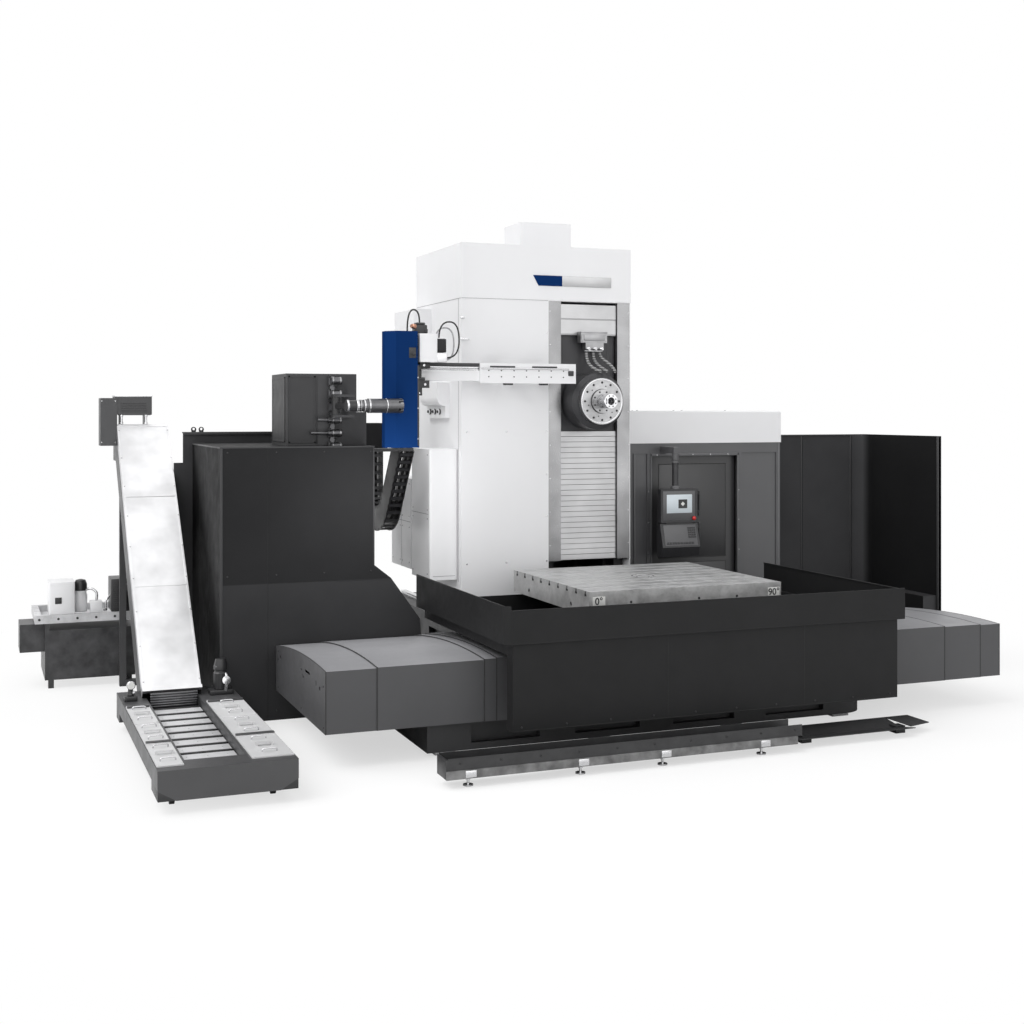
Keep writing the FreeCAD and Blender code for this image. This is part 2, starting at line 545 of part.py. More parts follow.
def atc_cables():
    """Three free cables in loops between the changer's motors, its drive box and the hood."""
    routes = (((-925, -475, 3055), (-806, -475, 3055), (-806, -460, 3372), (-985, -452, 3360),
               (-985, -452, 3215)),
              ((-925, -440, 3038), (-842, -440, 3038), (-842, -425, 3322), (-1003, -418, 3310),
               (-1003, -418, 3215)),
              ((-1150, -420, 3355), (-1150, -420, 3468), (-1264, -434, 3462), (-1264, -434, 3275)))
    save("atc_cables", *[tube(route, CABLE_R) for route in routes])


def transfer_arm():
    """Swing arm of the magazine that carries one tool pot out to the changer."""
    x, y, z = ARM_X, ARM_Y, TOOL_Z
    hub = rod((x, y, z - 75), (0, 0, 1), 42, 150)
    beam = box(x - 22, x + 22, TOOL_Y, y, z - 22, z + 22)
    pot = rod((x - 60, TOOL_Y, z), (1, 0, 0), 46, 120)
    socket = cone((x + 60, TOOL_Y, z), (-1, 0, 0), 35, 20, 102)
    bore = rod((x, y, z - 80), (0, 0, 1), 16, 160)
    save("transfer_arm", fuse([hub, beam, pot]).cut(bore).cut(socket))


def staged_tool():
    """Face mill with its long holder: taper shank, flange, body and head with pockets."""
    x, y, z = ARM_X + 60, TOOL_Y, TOOL_Z
    steps = ((50, 16), (42, 12), (50, 20), (54, 20), (60, 158), (62, 140))
    solids = [cone((x, y, z), (-1, 0, 0), 34.8, 20, 100)]
    for r, length in steps:
        solids.append(rod((x, y, z), (1, 0, 0), r, length))
        x += length
    tool = fuse(solids)
    for k in range(6):
        a = math.pi / 3 * k
        pocket = box(x - 42, x + 1, y - 9, y + 9, z + 38, z + 80)
        pocket.rotate(V(x, y, z), V(1, 0, 0), math.degrees(a))
        tool = tool.cut(pocket)
    save("staged_tool", tool)


# ---------------------------------------------------------------- tool magazine
def magazine_housing():
    """Sheet housing of the tool magazine: flared lower panel, and stepped cable duct at the rear."""
    t = SHEET
    shell = box(MAG_X0, MAG_X1, MAG_Y0, MAG_Y1, 0, MAG_TOP)
    shell = shell.cut(box(MAG_X0 + t, MAG_X1 - t, MAG_Y0 + t, MAG_Y1 - t, -1, MAG_TOP - t))
    shell = shell.cut(box(-2180, -1580, 110, 690, MAG_TOP - 20, MAG_TOP + 1))
    shell = shell.cut(box(CHAIN_X - 90, CHAIN_X + 110, CHAIN_Y - 90, 111, MAG_TOP - 20, MAG_TOP + 1))
    flare = prism([(MAG_X1, MAG_Y0, 0), (MAG_X1, MAG_Y0, 1267), (-1346, MAG_Y0, 1150),
                   (-1084, MAG_Y0, 784), (-1030, MAG_Y0, 0)], (0, t, 0))
    fold = box(MAG_X1 - 330, -1360, MAG_Y0 - 3, MAG_Y0 + 1, 1144, 1152)
    ducts = [box(MAG_X1 - 1, -1043, 1100, 1280, 2210, 2480), box(-1044, -983, 1115, 1265, 2210, 2403)]
    save("magazine_housing", fuse([shell, flare, fold] + ducts))


def loading_box():
    """Stepped box over the magazine where tools are loaded, with an open front bay."""
    upper = box(-2194, -1567, 100, 700, MAG_TOP, 2922)
    upper = upper.cut(box(-2186, -1575, 108, 692, MAG_TOP - 1, 2914))
    bay = box(-1567, -1476, 100, 520, MAG_TOP, 2587)
    plan = [(-1830, -110), (-1640, -110), (-1640, 100), (-1700, 100), (-1700, -30), (-1830, -30)]
    arms = [prism([(x, y, TOOL_Z + s) for x, y in plan], (0, 0, 22)) for s in (-99, 77)]
    pin = rod((ARM_X, ARM_Y, TOOL_Z - 99), (0, 0, 1), 15.9, 198)
    save("loading_box", fuse([upper, bay] + arms + [pin]))


def tool_chain():
    """Visible run of the tool chain: link plates, a pot on every pitch and two parked tools."""
    z0 = MAG_TOP - 90
    first = TOOL_Z - 8 - 3 * CHAIN_PITCH
    solids = [box(CHAIN_X - 20, CHAIN_X + 20, CHAIN_Y + 20, 100, z0, 2900)]
    for k in range(6):
        z = first + CHAIN_PITCH * k
        solids.append(box(CHAIN_X - 36, CHAIN_X + 36, CHAIN_Y + 4, CHAIN_Y + 21, z - 42, z + 42))
        solids.append(rod((CHAIN_X - 20, CHAIN_Y - 18, z), (1, 0, 0), 32, 90))
    for k, reach in ((1, 150), (2, 90)):
        z = first + CHAIN_PITCH * k
        solids.append(rod((CHAIN_X - 19, CHAIN_Y - 18, z), (-1, 0, 0), 24, 30))
        solids.append(rod((CHAIN_X - 48, CHAIN_Y - 18, z), (-1, 0, 0), 13, reach))
    save("tool_chain", fuse(solids))


def energy_chain(name, x0, x1, y, z0, rise, depth, count):
    """Cable carrier: an upright arch of link plates with open gaps between cross bars."""
    r = depth / 2
    outer, inner = [], []
    for k in range(13):
        a = math.pi * k / 12
        outer.append((x0, y - r * math.cos(a), z0 + rise + r * math.sin(a)))
        inner.append((x0, y - (r - 60) * math.cos(a), z0 + rise + (r - 60) * math.sin(a)))
    outline = [(x0, y - r, z0)] + outer + [(x0, y + r, z0), (x0, y + r - 60, z0)]
    outline += inner[::-1] + [(x0, y - r + 60, z0)]
    sides = [prism(outline, (12, 0, 0)),
             prism([(x + (x1 - x0 - 12), a, b) for x, a, b in outline], (12, 0, 0))]
    bars = []
    for k in range(count):
        z = z0 + 20 + k * rise / count
        bars.append(box(x0, x1, y - r + 6, y - r + 20, z, z + 26))
        bars.append(box(x0, x1, y + r - 20, y + r - 6, z, z + 26))
    save(name, fuse(sides + bars))


# ---------------------------------------------------------------- walls round the machine
def rear_wall():
    """Standing sheet wall behind the magazine with a top flange and lifting eyes."""
    main = box(-2896, -1640, 1320, 1350, 0, 2400)
    low = box(-2980, -2896, 1320, 1350, 0, 2114)
    flange = box(-2896, -1640, 1350, 1400, 2388, 2400)
    eyes = []
    for x in (-2800, -2730):
        eye = rod((x, 1320, 2424), (0, 1, 0), 24, 14).cut(rod((x, 1310, 2428), (0, 1, 0), 12, 40))
        eyes.append(fuse([eye, box(x - 20, x + 20, 1320, 1334, 2396, 2410)]))
    return fuse([main, low, flange] + eyes)


def right_wall():
    """Right splash wall: rear run with two seams and a folded side run with a low ledge."""
    t = 30
    rear = box(CAB_X1 + 6, WALL_X1, WALL_Y1, WALL_Y1 + t, 0, WALL_TOP)
    side = box(WALL_X1 - t, WALL_X1, WALL_Y0, WALL_Y1, 0, WALL_TOP)
    bend = rod((WALL_X1 - t - 160, WALL_Y1 - 160, 0), (0, 0, 1), 160, WALL_TOP)
    web = box(WALL_X1 - t - 160, WALL_X1 - t, WALL_Y1 - 160, WALL_Y1, 0, WALL_TOP).cut(bend)
    ledge = box(WALL_X1 - 190, WALL_X1 - t, WALL_Y0 + 40, WALL_Y1 - 200, 40, 750)
    wall = fuse([rear, side, web, ledge])
    for x in (3465, 4085):
        wall = wall.cut(box(x, x + 8, WALL_Y1 - 1, WALL_Y1 + 4, 60, WALL_TOP + 1))
    return wall


# ---------------------------------------------------------------- operator cabin
def cabin():
    """Operator cabin: frame, roof, fixed panels, sliding door and hanging control units."""
    x0, x1, y0, y1, top = CAB_X0, CAB_X1, CAB_Y0, CAB_Y1, CAB_TOP
    posts = [box(x, x + 46, y, y + 46, 0, top) for x in (x0, x1 - 46) for y in (y0, y1 - 46)]
    posts.append(box(2473, 2519, y0, y0 + 46, 0, 2177))
    posts.append(box(1446, 1492, y0, y0 + 46, 0, 2177))
    beams = [box(x0, x1, y, y + 46, 2177, top) for y in (y0, y1 - 46)]
    beams += [box(x, x + 46, y0, y1, 2177, top) for x in (x0, x1 - 46)]
    sill = [box(x0, x1, y0, y0 + 46, 60, 140), box(x0, x1, y1 - 46, y1, 60, 140)]
    floor = box(x0, x1, y0, y1, 60, 90)
    rail = box(x0 + 46, x1 - 46, y0 + 46, y0 + 100, 2190, 2215)
    arm = box(PENDANT_X - 34, PENDANT_X + 34, PENDANT_Y - 34, y0, 2185, 2245)
    neck = rod((PENDANT_X, PENDANT_Y, 2120), (0, 0, 1), 34, 66)
    save("cabin_frame", fuse(posts + beams + sill + [floor, rail, arm, neck]))
    roof = box(x0, x1 + 6, y0 - 8, y1, top, CAB_ROOF)
    roof = roof.makeChamfer(14, [e for e in roof.Edges if e.BoundBox.ZMin > CAB_ROOF - 1])
    save("cabin_roof", roof)
    panels = [box(2519, x1 - 46, y0 + 14, y0 + 26, 140, 2177),
              box(x1 - 26, x1 - 14, y0 + 46, y1 - 46, 90, 2177),
              box(x0 + 14, x0 + 26, y0 + 46, y1 - 46, 90, 2177),
              box(x0 + 46, x1 - 46, y1 - 26, y1 - 14, 140, 2177),
              box(x0 + 46, 1446, y0 + 14, y0 + 26, 140, 2177)]
    save("cabin_panels", *panels)
    frame = box(1500, 2465, y0 + 60, y0 + 90, 150, 2165)
    glass = box(1620, 2345, y0 + 59, y0 + 91, 1150, 2050)
    hangers = [box(x, x + 60, y0 + 62, y0 + 88, 2164, 2189) for x in (1580, 2320)]
    save("cabin_door", fuse([frame.cut(glass)] + hangers),
         box(1620, 2345, y0 + 70, y0 + 78, 1150, 2050))


def pendant():
    """Hanging control station: pole, screen housing, sloped keyboard and side handles."""
    x, y = PENDANT_X, PENDANT_Y
    x0, x1, back, front = x - 176, x + 230, y + 42, y - 42
    pole = rod((x, y, 1612), (0, 0, 1), 30, 507)
    screen = rounded_box(x0, x1, front, back, 1517, 1838, 12)
    screen = screen.cut(box(x0 + 57, x1 - 103, front - 2, front + 4, 1575, 1801))
    screen = screen.cut(rod((x1 - 52, front - 1, 1555), (0, 1, 0), 13.5, 26))
    keys = prism([(x0, back, 1189), (x0, back, 1507), (x0, y - 20, 1507), (x0, y - 81, 1280),
                  (x0, y - 51, 1189)], (x1 - x0, 0, 0))
    tie = box(x0 + 67, x1 - 63, y - 20, back, 1505, 1519)
    handles = []
    for z0, z1 in ((1550, 1806), (1234, 1476)):
        for z in (z0, z1 - 20):
            handles.append(box(x1 - 1, x1 + 41, y - 12, y + 8, z, z + 20))
        handles.append(box(x1 + 21, x1 + 41, y - 12, y + 8, z0, z1))
    save("control_pendant", fuse([pole, screen, keys, tie] + handles))
    stem = rod((x1 - 52, front - 9, 1555), (0, 1, 0), 12, 25)
    save("stop_button", fuse([rod((x1 - 52, front - 8, 1555), (0, -1, 0), 20, 18), stem]))


# ---------------------------------------------------------------- chip conveyor and tank
def conveyor_frame():
    """Axes of the inclined conveyor: along its length, and square to its cover."""
    (y0, z0), (y1, z1) = CONV_FOOT, CONV_HEAD
    length = math.hypot(y1 - y0, z1 - z0)
    along = (0, (y1 - y0) / length, (z1 - z0) / length)
    normal = (0, -along[2], along[1])
    return length, along, normal


def incline(s0, s1, n0, n1, x0, x1):
    """Block in conveyor coordinates: s along the incline, n outward from the cover plane."""
    _, a, n = conveyor_frame()

    def at(s, k):
        return (x0, CONV_FOOT[0] + a[1] * s + n[1] * k, CONV_FOOT[1] + a[2] * s + n[2] * k)

    return prism([at(s0, n0), at(s1, n0), at(s1, n1), at(s0, n1)], (x1 - x0, 0, 0))


def chip_conveyor():
    """Inclined conveyor: dark trough body, bright cover sheets, drive and discharge."""
    length, _, _ = conveyor_frame()
    body = incline(0, length, -CONV_DEPTH, -6, CONV_X0, CONV_X1)
    bore = incline(-5, length - 40, -CONV_DEPTH + 8, -12, CONV_X0 + 8, CONV_X1 - 8)
    chute = box(CONV_X0, CONV_X1, CONV_HEAD[0] - 60, CONV_HEAD[0] + 360, 2120, 2290)
    save("conveyor_body", fuse([body.cut(bore), chute, conveyor_leg()] + conveyor_drive()))
    flange = incline(-6, 24, 0, 34, CONV_X0 - 4, CONV_X1 + 4)
    sheets = [flange]
    for s0, s1 in ((24, 0.36 * length), (0.36 * length, 0.7 * length), (0.7 * length, length)):
        sheets.append(incline(s0 + 2, s1 - 2, -6, 0, CONV_X0, CONV_X1))
    save("conveyor_covers", *sheets)


def conveyor_leg():
    """Trestle under the upper end: two posts with a foot bar and a cross bar."""
    y = CONV_HEAD[0] - 50
    posts = [box(x, x + 60, y, y + 60, 0, 1990) for x in (CONV_X0 + 20, CONV_X1 - 80)]
    bars = [box(CONV_X0 + 20, CONV_X1 - 20, y, y + 60, z, z + 60) for z in (0, 900)]
    return fuse(posts + bars)


def conveyor_drive():
    """Gear case on the left cheek, motor on top under its guard, on four short posts."""
    y, z = CONV_HEAD
    case = box(CONV_X0 - 150, CONV_X0, y - 20, y + 200, z - 200, z + 250)
    motor = rod((CONV_X0 + 20, y + 110, z + 165), (1, 0, 0), 78, 300)
    guard = box(CONV_X0 - 20, CONV_X0 + 320, y - 10, y + 230, z + 250, z + 274)
    posts = [box(CONV_X0 + a, CONV_X0 + a + 24, y + 20, y + 180, z, z + 250) for a in (30, 255)]
    return [case, guard, motor] + posts


def coolant_tank():
    """Low coolant tank on casters with a chip bay between two lidded side bays."""
    x0, x1, y0, y1, z0, z1 = TANK_X0, TANK_X1, TANK_Y0, TANK_Y1, TANK_Z0, TANK_TOP
    outline = [(x0, y0, z0 + 70), (x0 + 120, y0, z0), (x1 - 120, y0, z0), (x1, y0, z0 + 70),
               (x1, y0, z1), (x0, y0, z1)]
    tank = prism(outline, (0, y1 - y0, 0))
    tank = tank.fuse(box(x0, MAG_X0 - 10, y1 - 1, TAIL_Y1, z0, z1))
    bay = box(CONV_X0 + 30, CONV_X1 - 30, y0 + 240, y1 - 60, z0 + 40, z1 + 1)
    wells = [box(x0 + 12, CONV_X0 - 4, y0 + 30, y1 - 30, z0 + 90, z1 - 8),
             box(CONV_X1 + 4, x1 - 12, y0 + 30, y1 - 30, z0 + 90, z1 - 8)]
    tank = tank.cut(bay)
    for well in wells:
        tank = tank.cut(well)
    tank = tank.cut(box(CONV_X0 - 2, CONV_X1 + 2, CONV_FOOT[0] - 2, TAIL_Y1 + 1, z0 + 8, z1 + 1))
    save("coolant_tank", fuse([tank] + caster_forks()))


def tank_lids():
    """Loose lids of the side bays, each with a folded handle."""
    solids = []
    for x0, x1 in ((TANK_X0 + 8, CONV_X0 + 10), (CONV_X1 - 10, TANK_X1 - 8)):
        for y0, y1 in ((-2560, -1930), (-1915, -1290), (-1275, -650)):
            lid = box(x0, x1, y0, y1, TANK_TOP, TANK_TOP + 8)
            handle = box((x0 + x1) / 2 - 60, (x0 + x1) / 2 + 60, (y0 + y1) / 2 - 12,
                         (y0 + y1) / 2 + 12, TANK_TOP + 7, TANK_TOP + 34)
            handle = handle.cut(box((x0 + x1) / 2 - 46, (x0 + x1) / 2 + 46, y0, y1,
                                    TANK_TOP + 8, TANK_TOP + 24))
            solids.append(fuse([lid, handle]))
    save("tank_lids", *solids)


def chip_belt():
    """Hinged slat belt in the chip bay: plates with upstanding cleats."""
    x0, x1 = CONV_X0 + 36, CONV_X1 - 36
    solids = [box(x0, x1, -2400, -420, 196, 210)]
    for k in range(9):
        y = -2380 + 215 * k
        solids.append(box(x0, x1, y, y + 120, 209, 222))
        solids.append(box(x0, x1, y + 150, y + 175, 209, 250))
    save("chip_belt", fuse(solids))


def caster_forks():
    """Fixed forks under the tank, each with its axle pin."""
    forks = []
    for x, y in CASTERS:
        top = TANK_Z0 + 60
        forks += [box(a, a + 5, y - 14, y + 14, 28, top) for a in (x - 26, x + 21)]
        forks.append(rod((x - 26, y, 41), (1, 0, 0), 8, 52))
    return forks


def caster_wheels():
    """The four wheels of the tank."""
    for k, (x, y) in enumerate(CASTERS):
        wheel = rod((x - 16, y, 41), (1, 0, 0), 40, 32)
        wheel = wheel.cut(rod((x - 17, y, 41), (1, 0, 0), 8.5, 34))
        save("tank_wheel_%d" % (k + 1), wheel)


def tank_pumps():
    """Coolant pumps and valves at the back of the tank."""
    z = TANK_TOP
    right = fuse([box(-2930, -2740, -430, -290, z, z + 40),
                  rod((-2835, -360, z + 40), (0, 0, 1), 58, 150),
                  cone((-2835, -360, z + 190), (0, 0, 1), 58, 40, 60)])
    left = fuse([box(-3600, -3500, -430, -330, z, z + 40),
                 rod((-3550, -380, z + 40), (0, 0, 1), 22, 90),
                 rod((-3550, -380, z + 110), (0, -1, 0), 32, 40)])
    save("tank_pumps", right, left)


# ---------------------------------------------------------------- oil and coolant unit
def oil_unit():
    """Free-standing oil and coolant unit: tank, frame, pump set, filter and side box."""
    x0, x1, y0, y1 = UNIT_X0, UNIT_X1, UNIT_Y0, UNIT_Y1
    tank = box(x0, x1, y0, y1, 77, 540)
    legs = [box(x, x + 50, y, y + 50, 0, 78) for x in (x0 + 30, x1 - 80) for y in (y0, y1 - 50)]
    side = box(x0 - 220, x0, y0 + 70, y0 + 450, 337, 598)
    frame = box(x0 - 90, x1, y0, y1, 606, 684)
    frame = frame.cut(box(x0 - 30, x1 - 60, y0 + 60, y1 - 60, 626, 700))
    struts = [box(x, x + 40, y, y + 40, 540, 607) for x in (x0, x1 - 40) for y in (y0, y1 - 40)]
    save("oil_tank", fuse([tank, side, frame] + legs + struts))
    white = box(x0 + 38, x0 + 270, y0 + 20, y0 + 330, 684, 985)
    motor = fuse([rod((x0 + 330, y0 + 170, 684), (0, 0, 1), 62, 270),
                  cone((x0 + 330, y0 + 170, 954), (0, 0, 1), 62, 30, 40)])
    black = box(x1 - 220, x1 - 35, y0 + 20, y0 + 330, 684, 1000)
    small = box(x0 + 410, x0 + 520, y0 + 40, y0 + 160, 684, 790)
    save("oil_unit_pumps", white, motor, black, small)


# ---------------------------------------------------------------- chip trough and feet
def chip_trough():
    """Chip trough in front of the bed: folded dark channel over a bright base rail."""
    x0, x1, y0, y1 = TROUGH_X0, TROUGH_X1, TROUGH_Y0, TROUGH_Y1
    channel = [(x0, y0, 124), (x0, y0, 208), (x0, y0 + 5, 208), (x0, y0 + 5, 129),
               (x0, y1 - 5, 129), (x0, y1 - 5, 208), (x0, y1, 208), (x0, y1, 124)]
    rail = prism([(x0 - 14, y0 - 12, 64), (x0 - 14, y0 - 12, 118), (x0 - 14, y0 - 4, 124),
                  (x0 - 14, y0 + 50, 124), (x0 - 14, y0 + 50, 64)], (x1 - x0 - 30, 0, 0))
    back = box(x0, x1 - 40, y1 - 50, y1, 64, 124)
    save("chip_trough", fuse([prism(channel, (x1 - x0, 0, 0)), rail, back]))


def drip_gutter():
    """Shallow V gutter that carries coolant away to the right of the bed."""
    x0, x1 = 1175, 2266
    y0, y1 = -2690, -2290
    v = [(x0, y0, 70), (x0, (y0 + y1) / 2, 34), (x0, y1, 70), (x0, y1, 76),
         (x0, (y0 + y1) / 2, 40), (x0, y0, 76)]
    run = prism(v, (x1 - x0, 0, 0))
    tail = prism([(x1, y0 + 60, 70), (x1 + 225, y0 + 120, 70), (x1 + 225, y1, 70), (x1, y1, 70)],
                 (0, 0, 6))
    foot = [box(x, x + 90, y0 + 150, y0 + 240, 0, 58) for x in (1300, 2190)]
    save("drip_gutter", fuse([run, tail] + foot))


def levelling_feet():
    """Levelling feet under the trough and machine beds: pad, stud and hex nut."""
    solids = []
    for x in (-1525, -670, -8, 833):
        pad = rod((x, -2700, 0), (0, 0, 1), 36, 10)
        stud = rod((x, -2700, 9), (0, 0, 1), 9, 55)
        hexagon = [(x + 18 * math.cos(a), -2700 + 18 * math.sin(a), 40)
                   for a in [math.pi / 3 * k for k in range(6)]]
        solids.append(fuse([pad, stud, prism(hexagon, (0, 0, 14))]))
    spots = [(x, y) for x in (-1400, -100, 1100, 2150) for y in (-1780, -520)]
    spots += [(x, y) for x in (-420, 870) for y in (300, 1400, 2600)]
    for x, y in spots:
        solids.append(box(x - 80, x + 80, y - 60, y + 60, 0, 30))
    save("levelling_feet", *solids)


def main():
    """Builds every sub-part in turn."""
    bed_x()
    guide_rails()
    x_saddle()
    way_covers()
    splash_tray()
    rotary_table()
    bed_z()
    save("z_bellows", pleats(-540, 990, -50, 128, 646, 800, 4, 30))
    column_casting()
    column_cover()
    slot_strips()
    top_housing()
    side_cabinets()
    slat_cover("lower_slat_cover", 1205, HEAD_Z0, 21, 26, 46)
    slat_cover("upper_slat_cover", HEAD_Z1 + 4, 3590, 2, 20, 40)
    headstock()
    spindle_flange()
    spindle_sleeve()
    boring_spindle()
    coolant_nozzles()
    atc_rail()
    atc_carriage()
    atc_hood()
    atc_cables()
    transfer_arm()
    staged_tool()
    magazine_housing()
    loading_box()
    tool_chain()
    energy_chain("cable_carrier", -1180, -1040, 520, 0, 1870, 420, 17)
    save("standing_walls", rear_wall(), right_wall())
    cabin()
    pendant()
    chip_conveyor()
    coolant_tank()
    tank_lids()
    chip_belt()
    caster_wheels()
    tank_pumps()
    oil_unit()
    chip_trough()
    drip_gutter()
    levelling_feet()
    whole = Part.Compound(list(BUILT.values())).BoundBox
    print("nodes", len(BUILT), "x %.0f..%.0f y %.0f..%.0f z %.0f..%.0f"
          % (whole.XMin, whole.XMax, whole.YMin, whole.YMax, whole.ZMin, whole.ZMax))
    print("tightest bend of a tube %.0f mm" % min(BENDS))


main()
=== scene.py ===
"""Looks of a table-type horizontal boring machine: sheet housings, slat covers, tool changer,
magazine, operator cabin, way covers, rotary table and chip conveyor."""

import math

import bmesh
import bpy
import numpy as np
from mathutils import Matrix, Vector


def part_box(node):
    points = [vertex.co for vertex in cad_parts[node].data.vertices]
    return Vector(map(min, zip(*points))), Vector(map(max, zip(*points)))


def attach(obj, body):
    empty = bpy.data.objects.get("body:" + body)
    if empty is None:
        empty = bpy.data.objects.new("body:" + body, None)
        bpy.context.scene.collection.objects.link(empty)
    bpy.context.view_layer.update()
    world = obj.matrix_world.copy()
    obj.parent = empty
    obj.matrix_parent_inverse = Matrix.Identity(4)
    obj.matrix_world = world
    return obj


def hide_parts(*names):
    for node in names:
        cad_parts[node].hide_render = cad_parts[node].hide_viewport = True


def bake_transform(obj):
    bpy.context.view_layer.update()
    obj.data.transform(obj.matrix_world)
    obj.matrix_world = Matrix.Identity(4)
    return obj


bl_info = {
    "name": "Boring Machine Builder",
    "version": (1, 0, 0),
    "blender": (4, 5, 0),
    "location": "View3D > Sidebar > Boring Machine",
    "description": "Builds the finish and the small pieces of a horizontal boring machine",
    "category": "Object",
}

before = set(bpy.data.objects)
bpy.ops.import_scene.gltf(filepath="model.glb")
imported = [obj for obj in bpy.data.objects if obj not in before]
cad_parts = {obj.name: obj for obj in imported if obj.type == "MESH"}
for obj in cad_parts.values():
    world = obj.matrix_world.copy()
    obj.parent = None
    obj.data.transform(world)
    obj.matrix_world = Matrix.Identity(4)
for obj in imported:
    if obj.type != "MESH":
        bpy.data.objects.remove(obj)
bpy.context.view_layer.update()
PI2 = 2.0 * math.pi
FRONT, LEFT, RIGHT, UP = (0, -1, 0), (-1, 0, 0), (1, 0, 0), (0, 0, 1)
FINISH = {}


def settings():
    """The user's sizes and colours."""
    return bpy.context.scene.boring_machine


# -------------------- surfaces
def linked(name, data):
    """A new object around data, put into the scene."""
    obj = bpy.data.objects.new(name, data)
    bpy.context.scene.collection.objects.link(obj)
    return obj


def add_mesh(name, verts, faces, material, body, smooth=False, slot=None):
    """Puts vertex and face arrays into a mesh object that rides on a body."""
    mesh = bpy.data.meshes.new(name)
    mesh.from_pydata(np.asarray(verts, float).tolist(), [], faces)
    mesh.validate()
    mesh.update()
    obj = linked(name, mesh)
    mesh.materials.append(material)
    if smooth:
        mesh.polygons.foreach_set("use_smooth", [True] * len(mesh.polygons))
    if body:
        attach(obj, body)
    return obj


def grid_faces(rows, cols, wrap):
    """Quads of a rows by cols grid; wrap joins the last column to the first."""
    r = np.arange(rows - 1)[:, None]
    c = np.arange(cols if wrap else cols - 1)[None, :]
    n = (c + 1) % cols
    quads = np.stack([r * cols + c, r * cols + n, (r + 1) * cols + n, (r + 1) * cols + c], -1)
    return quads.reshape(-1, 4).tolist()


def capped(rows, cols):
    """Quads of a closed tube of rows by cols points, with a flat cap on its first and last row."""
    first = np.arange(cols)
    return grid_faces(rows, cols, True) + [first[::-1].tolist(),
        (first + (rows - 1) * cols).tolist()]


def joined(shapes):
    """One vertex array and one face list out of several (vertices, faces) pairs."""
    verts, faces, base = [], [], 0
    for v, f in shapes:
        verts.append(np.asarray(v, float))
        faces += [[i + base for i in face] for face in f]
        base += len(v)
    return np.concatenate(verts), faces


def corner_ring(w, d, r, steps=4):
    """Rounded rectangle w by d about the origin: four quarter circles of radius r."""
    r = min(r, w / 2, d / 2)
    a = np.linspace(0, math.pi / 2, steps + 1)
    a = (a[None, :] + np.arange(4)[:, None] * math.pi / 2).ravel()
    sx = np.repeat([1, -1, -1, 1], steps + 1) * (w / 2 - r)
    sy = np.repeat([1, 1, -1, -1], steps + 1) * (d / 2 - r)
    return np.stack([sx + r * np.cos(a), sy + r * np.sin(a)], 1)


def slab(lo, hi, edge=0.003, corner=0.004, steps=3, up=2):
    """Block with softened edges: rounded rectangles stacked along the up axis, drawn in by a
    quarter circle of radius edge near both ends, and closed by flat caps."""
    lo, hi = np.array(lo, float), np.array(hi, float)
    order = [(up + 1) % 3, (up + 2) % 3, up]
    size = (hi - lo)[order]
    edge = min(edge, size.min() / 2.01)
    a = np.linspace(0, math.pi / 2, steps)
    inset = np.concatenate([edge * (1 - np.sin(a)), edge * (1 - np.sin(a[::-1]))])
    level = np.concatenate([edge * (1 - np.cos(a)), size[2] - edge * (1 - np.cos(a[::-1]))])
    rings = []
    for k, z in zip(inset, level):
        flat = corner_ring(size[0] - 2 * k, size[1] - 2 * k, max(corner - k, 0.0005), steps)
        rings.append(np.column_stack([flat, np.full(len(flat), z)]))
    local = np.concatenate(rings)
    verts = np.zeros_like(local)
    centre = (lo + hi) / 2
    for k, start in enumerate((centre[order[0]], centre[order[1]], lo[order[2]])):
        verts[:, order[k]] = local[:, k] + start
    return verts, capped(len(level), 4 * (steps + 1))


def frame_of(axis):
    """Two unit vectors square to axis, and axis itself made a unit vector."""
    a = np.array(axis, float)
    a /= np.linalg.norm(a)
    u = np.cross([0.0, 0.0, 1.0] if abs(a[2]) < 0.9 else [1.0, 0.0, 0.0], a)
    u /= np.linalg.norm(u)
    return u, np.cross(a, u), a


def turned(profile, origin, axis, sides=28):
    """Surface of revolution: (radius, distance) pairs turned about axis through origin,
    with both ends closed."""
    u, v, a = frame_of(axis)
    prof = np.array(profile, float)
    t = np.arange(sides) * PI2 / sides
    circle = np.cos(t)[:, None] * u + np.sin(t)[:, None] * v
    along, out = prof[:, 1, None, None] * a, prof[:, 0, None, None] * circle[None]
    verts = np.array(origin, float) + along + out
    return verts.reshape(-1, 3), capped(len(prof), sides)


def collar(inner, outer, bevel, length, origin, axis, sides=28):
    """Turned collar or nut: its wall widens from inner to outer over the bevel at both ends."""
    outline = [(inner, 0), (outer, bevel), (outer, length - bevel), (inner, length)]
    return turned(outline, origin, axis, sides)


def hoop(profile, origin, axis, sides=28):
    """Ring about axis: a closed outline of (radius, distance) pairs turned about it."""
    verts, _ = turned(profile, origin, axis, sides)
    faces = grid_faces(len(profile), sides, True)
    last = (len(profile) - 1) * sides
    faces += [[last + i, last + (i + 1) % sides, (i + 1) % sides, i] for i in range(sides)]
    return verts, faces


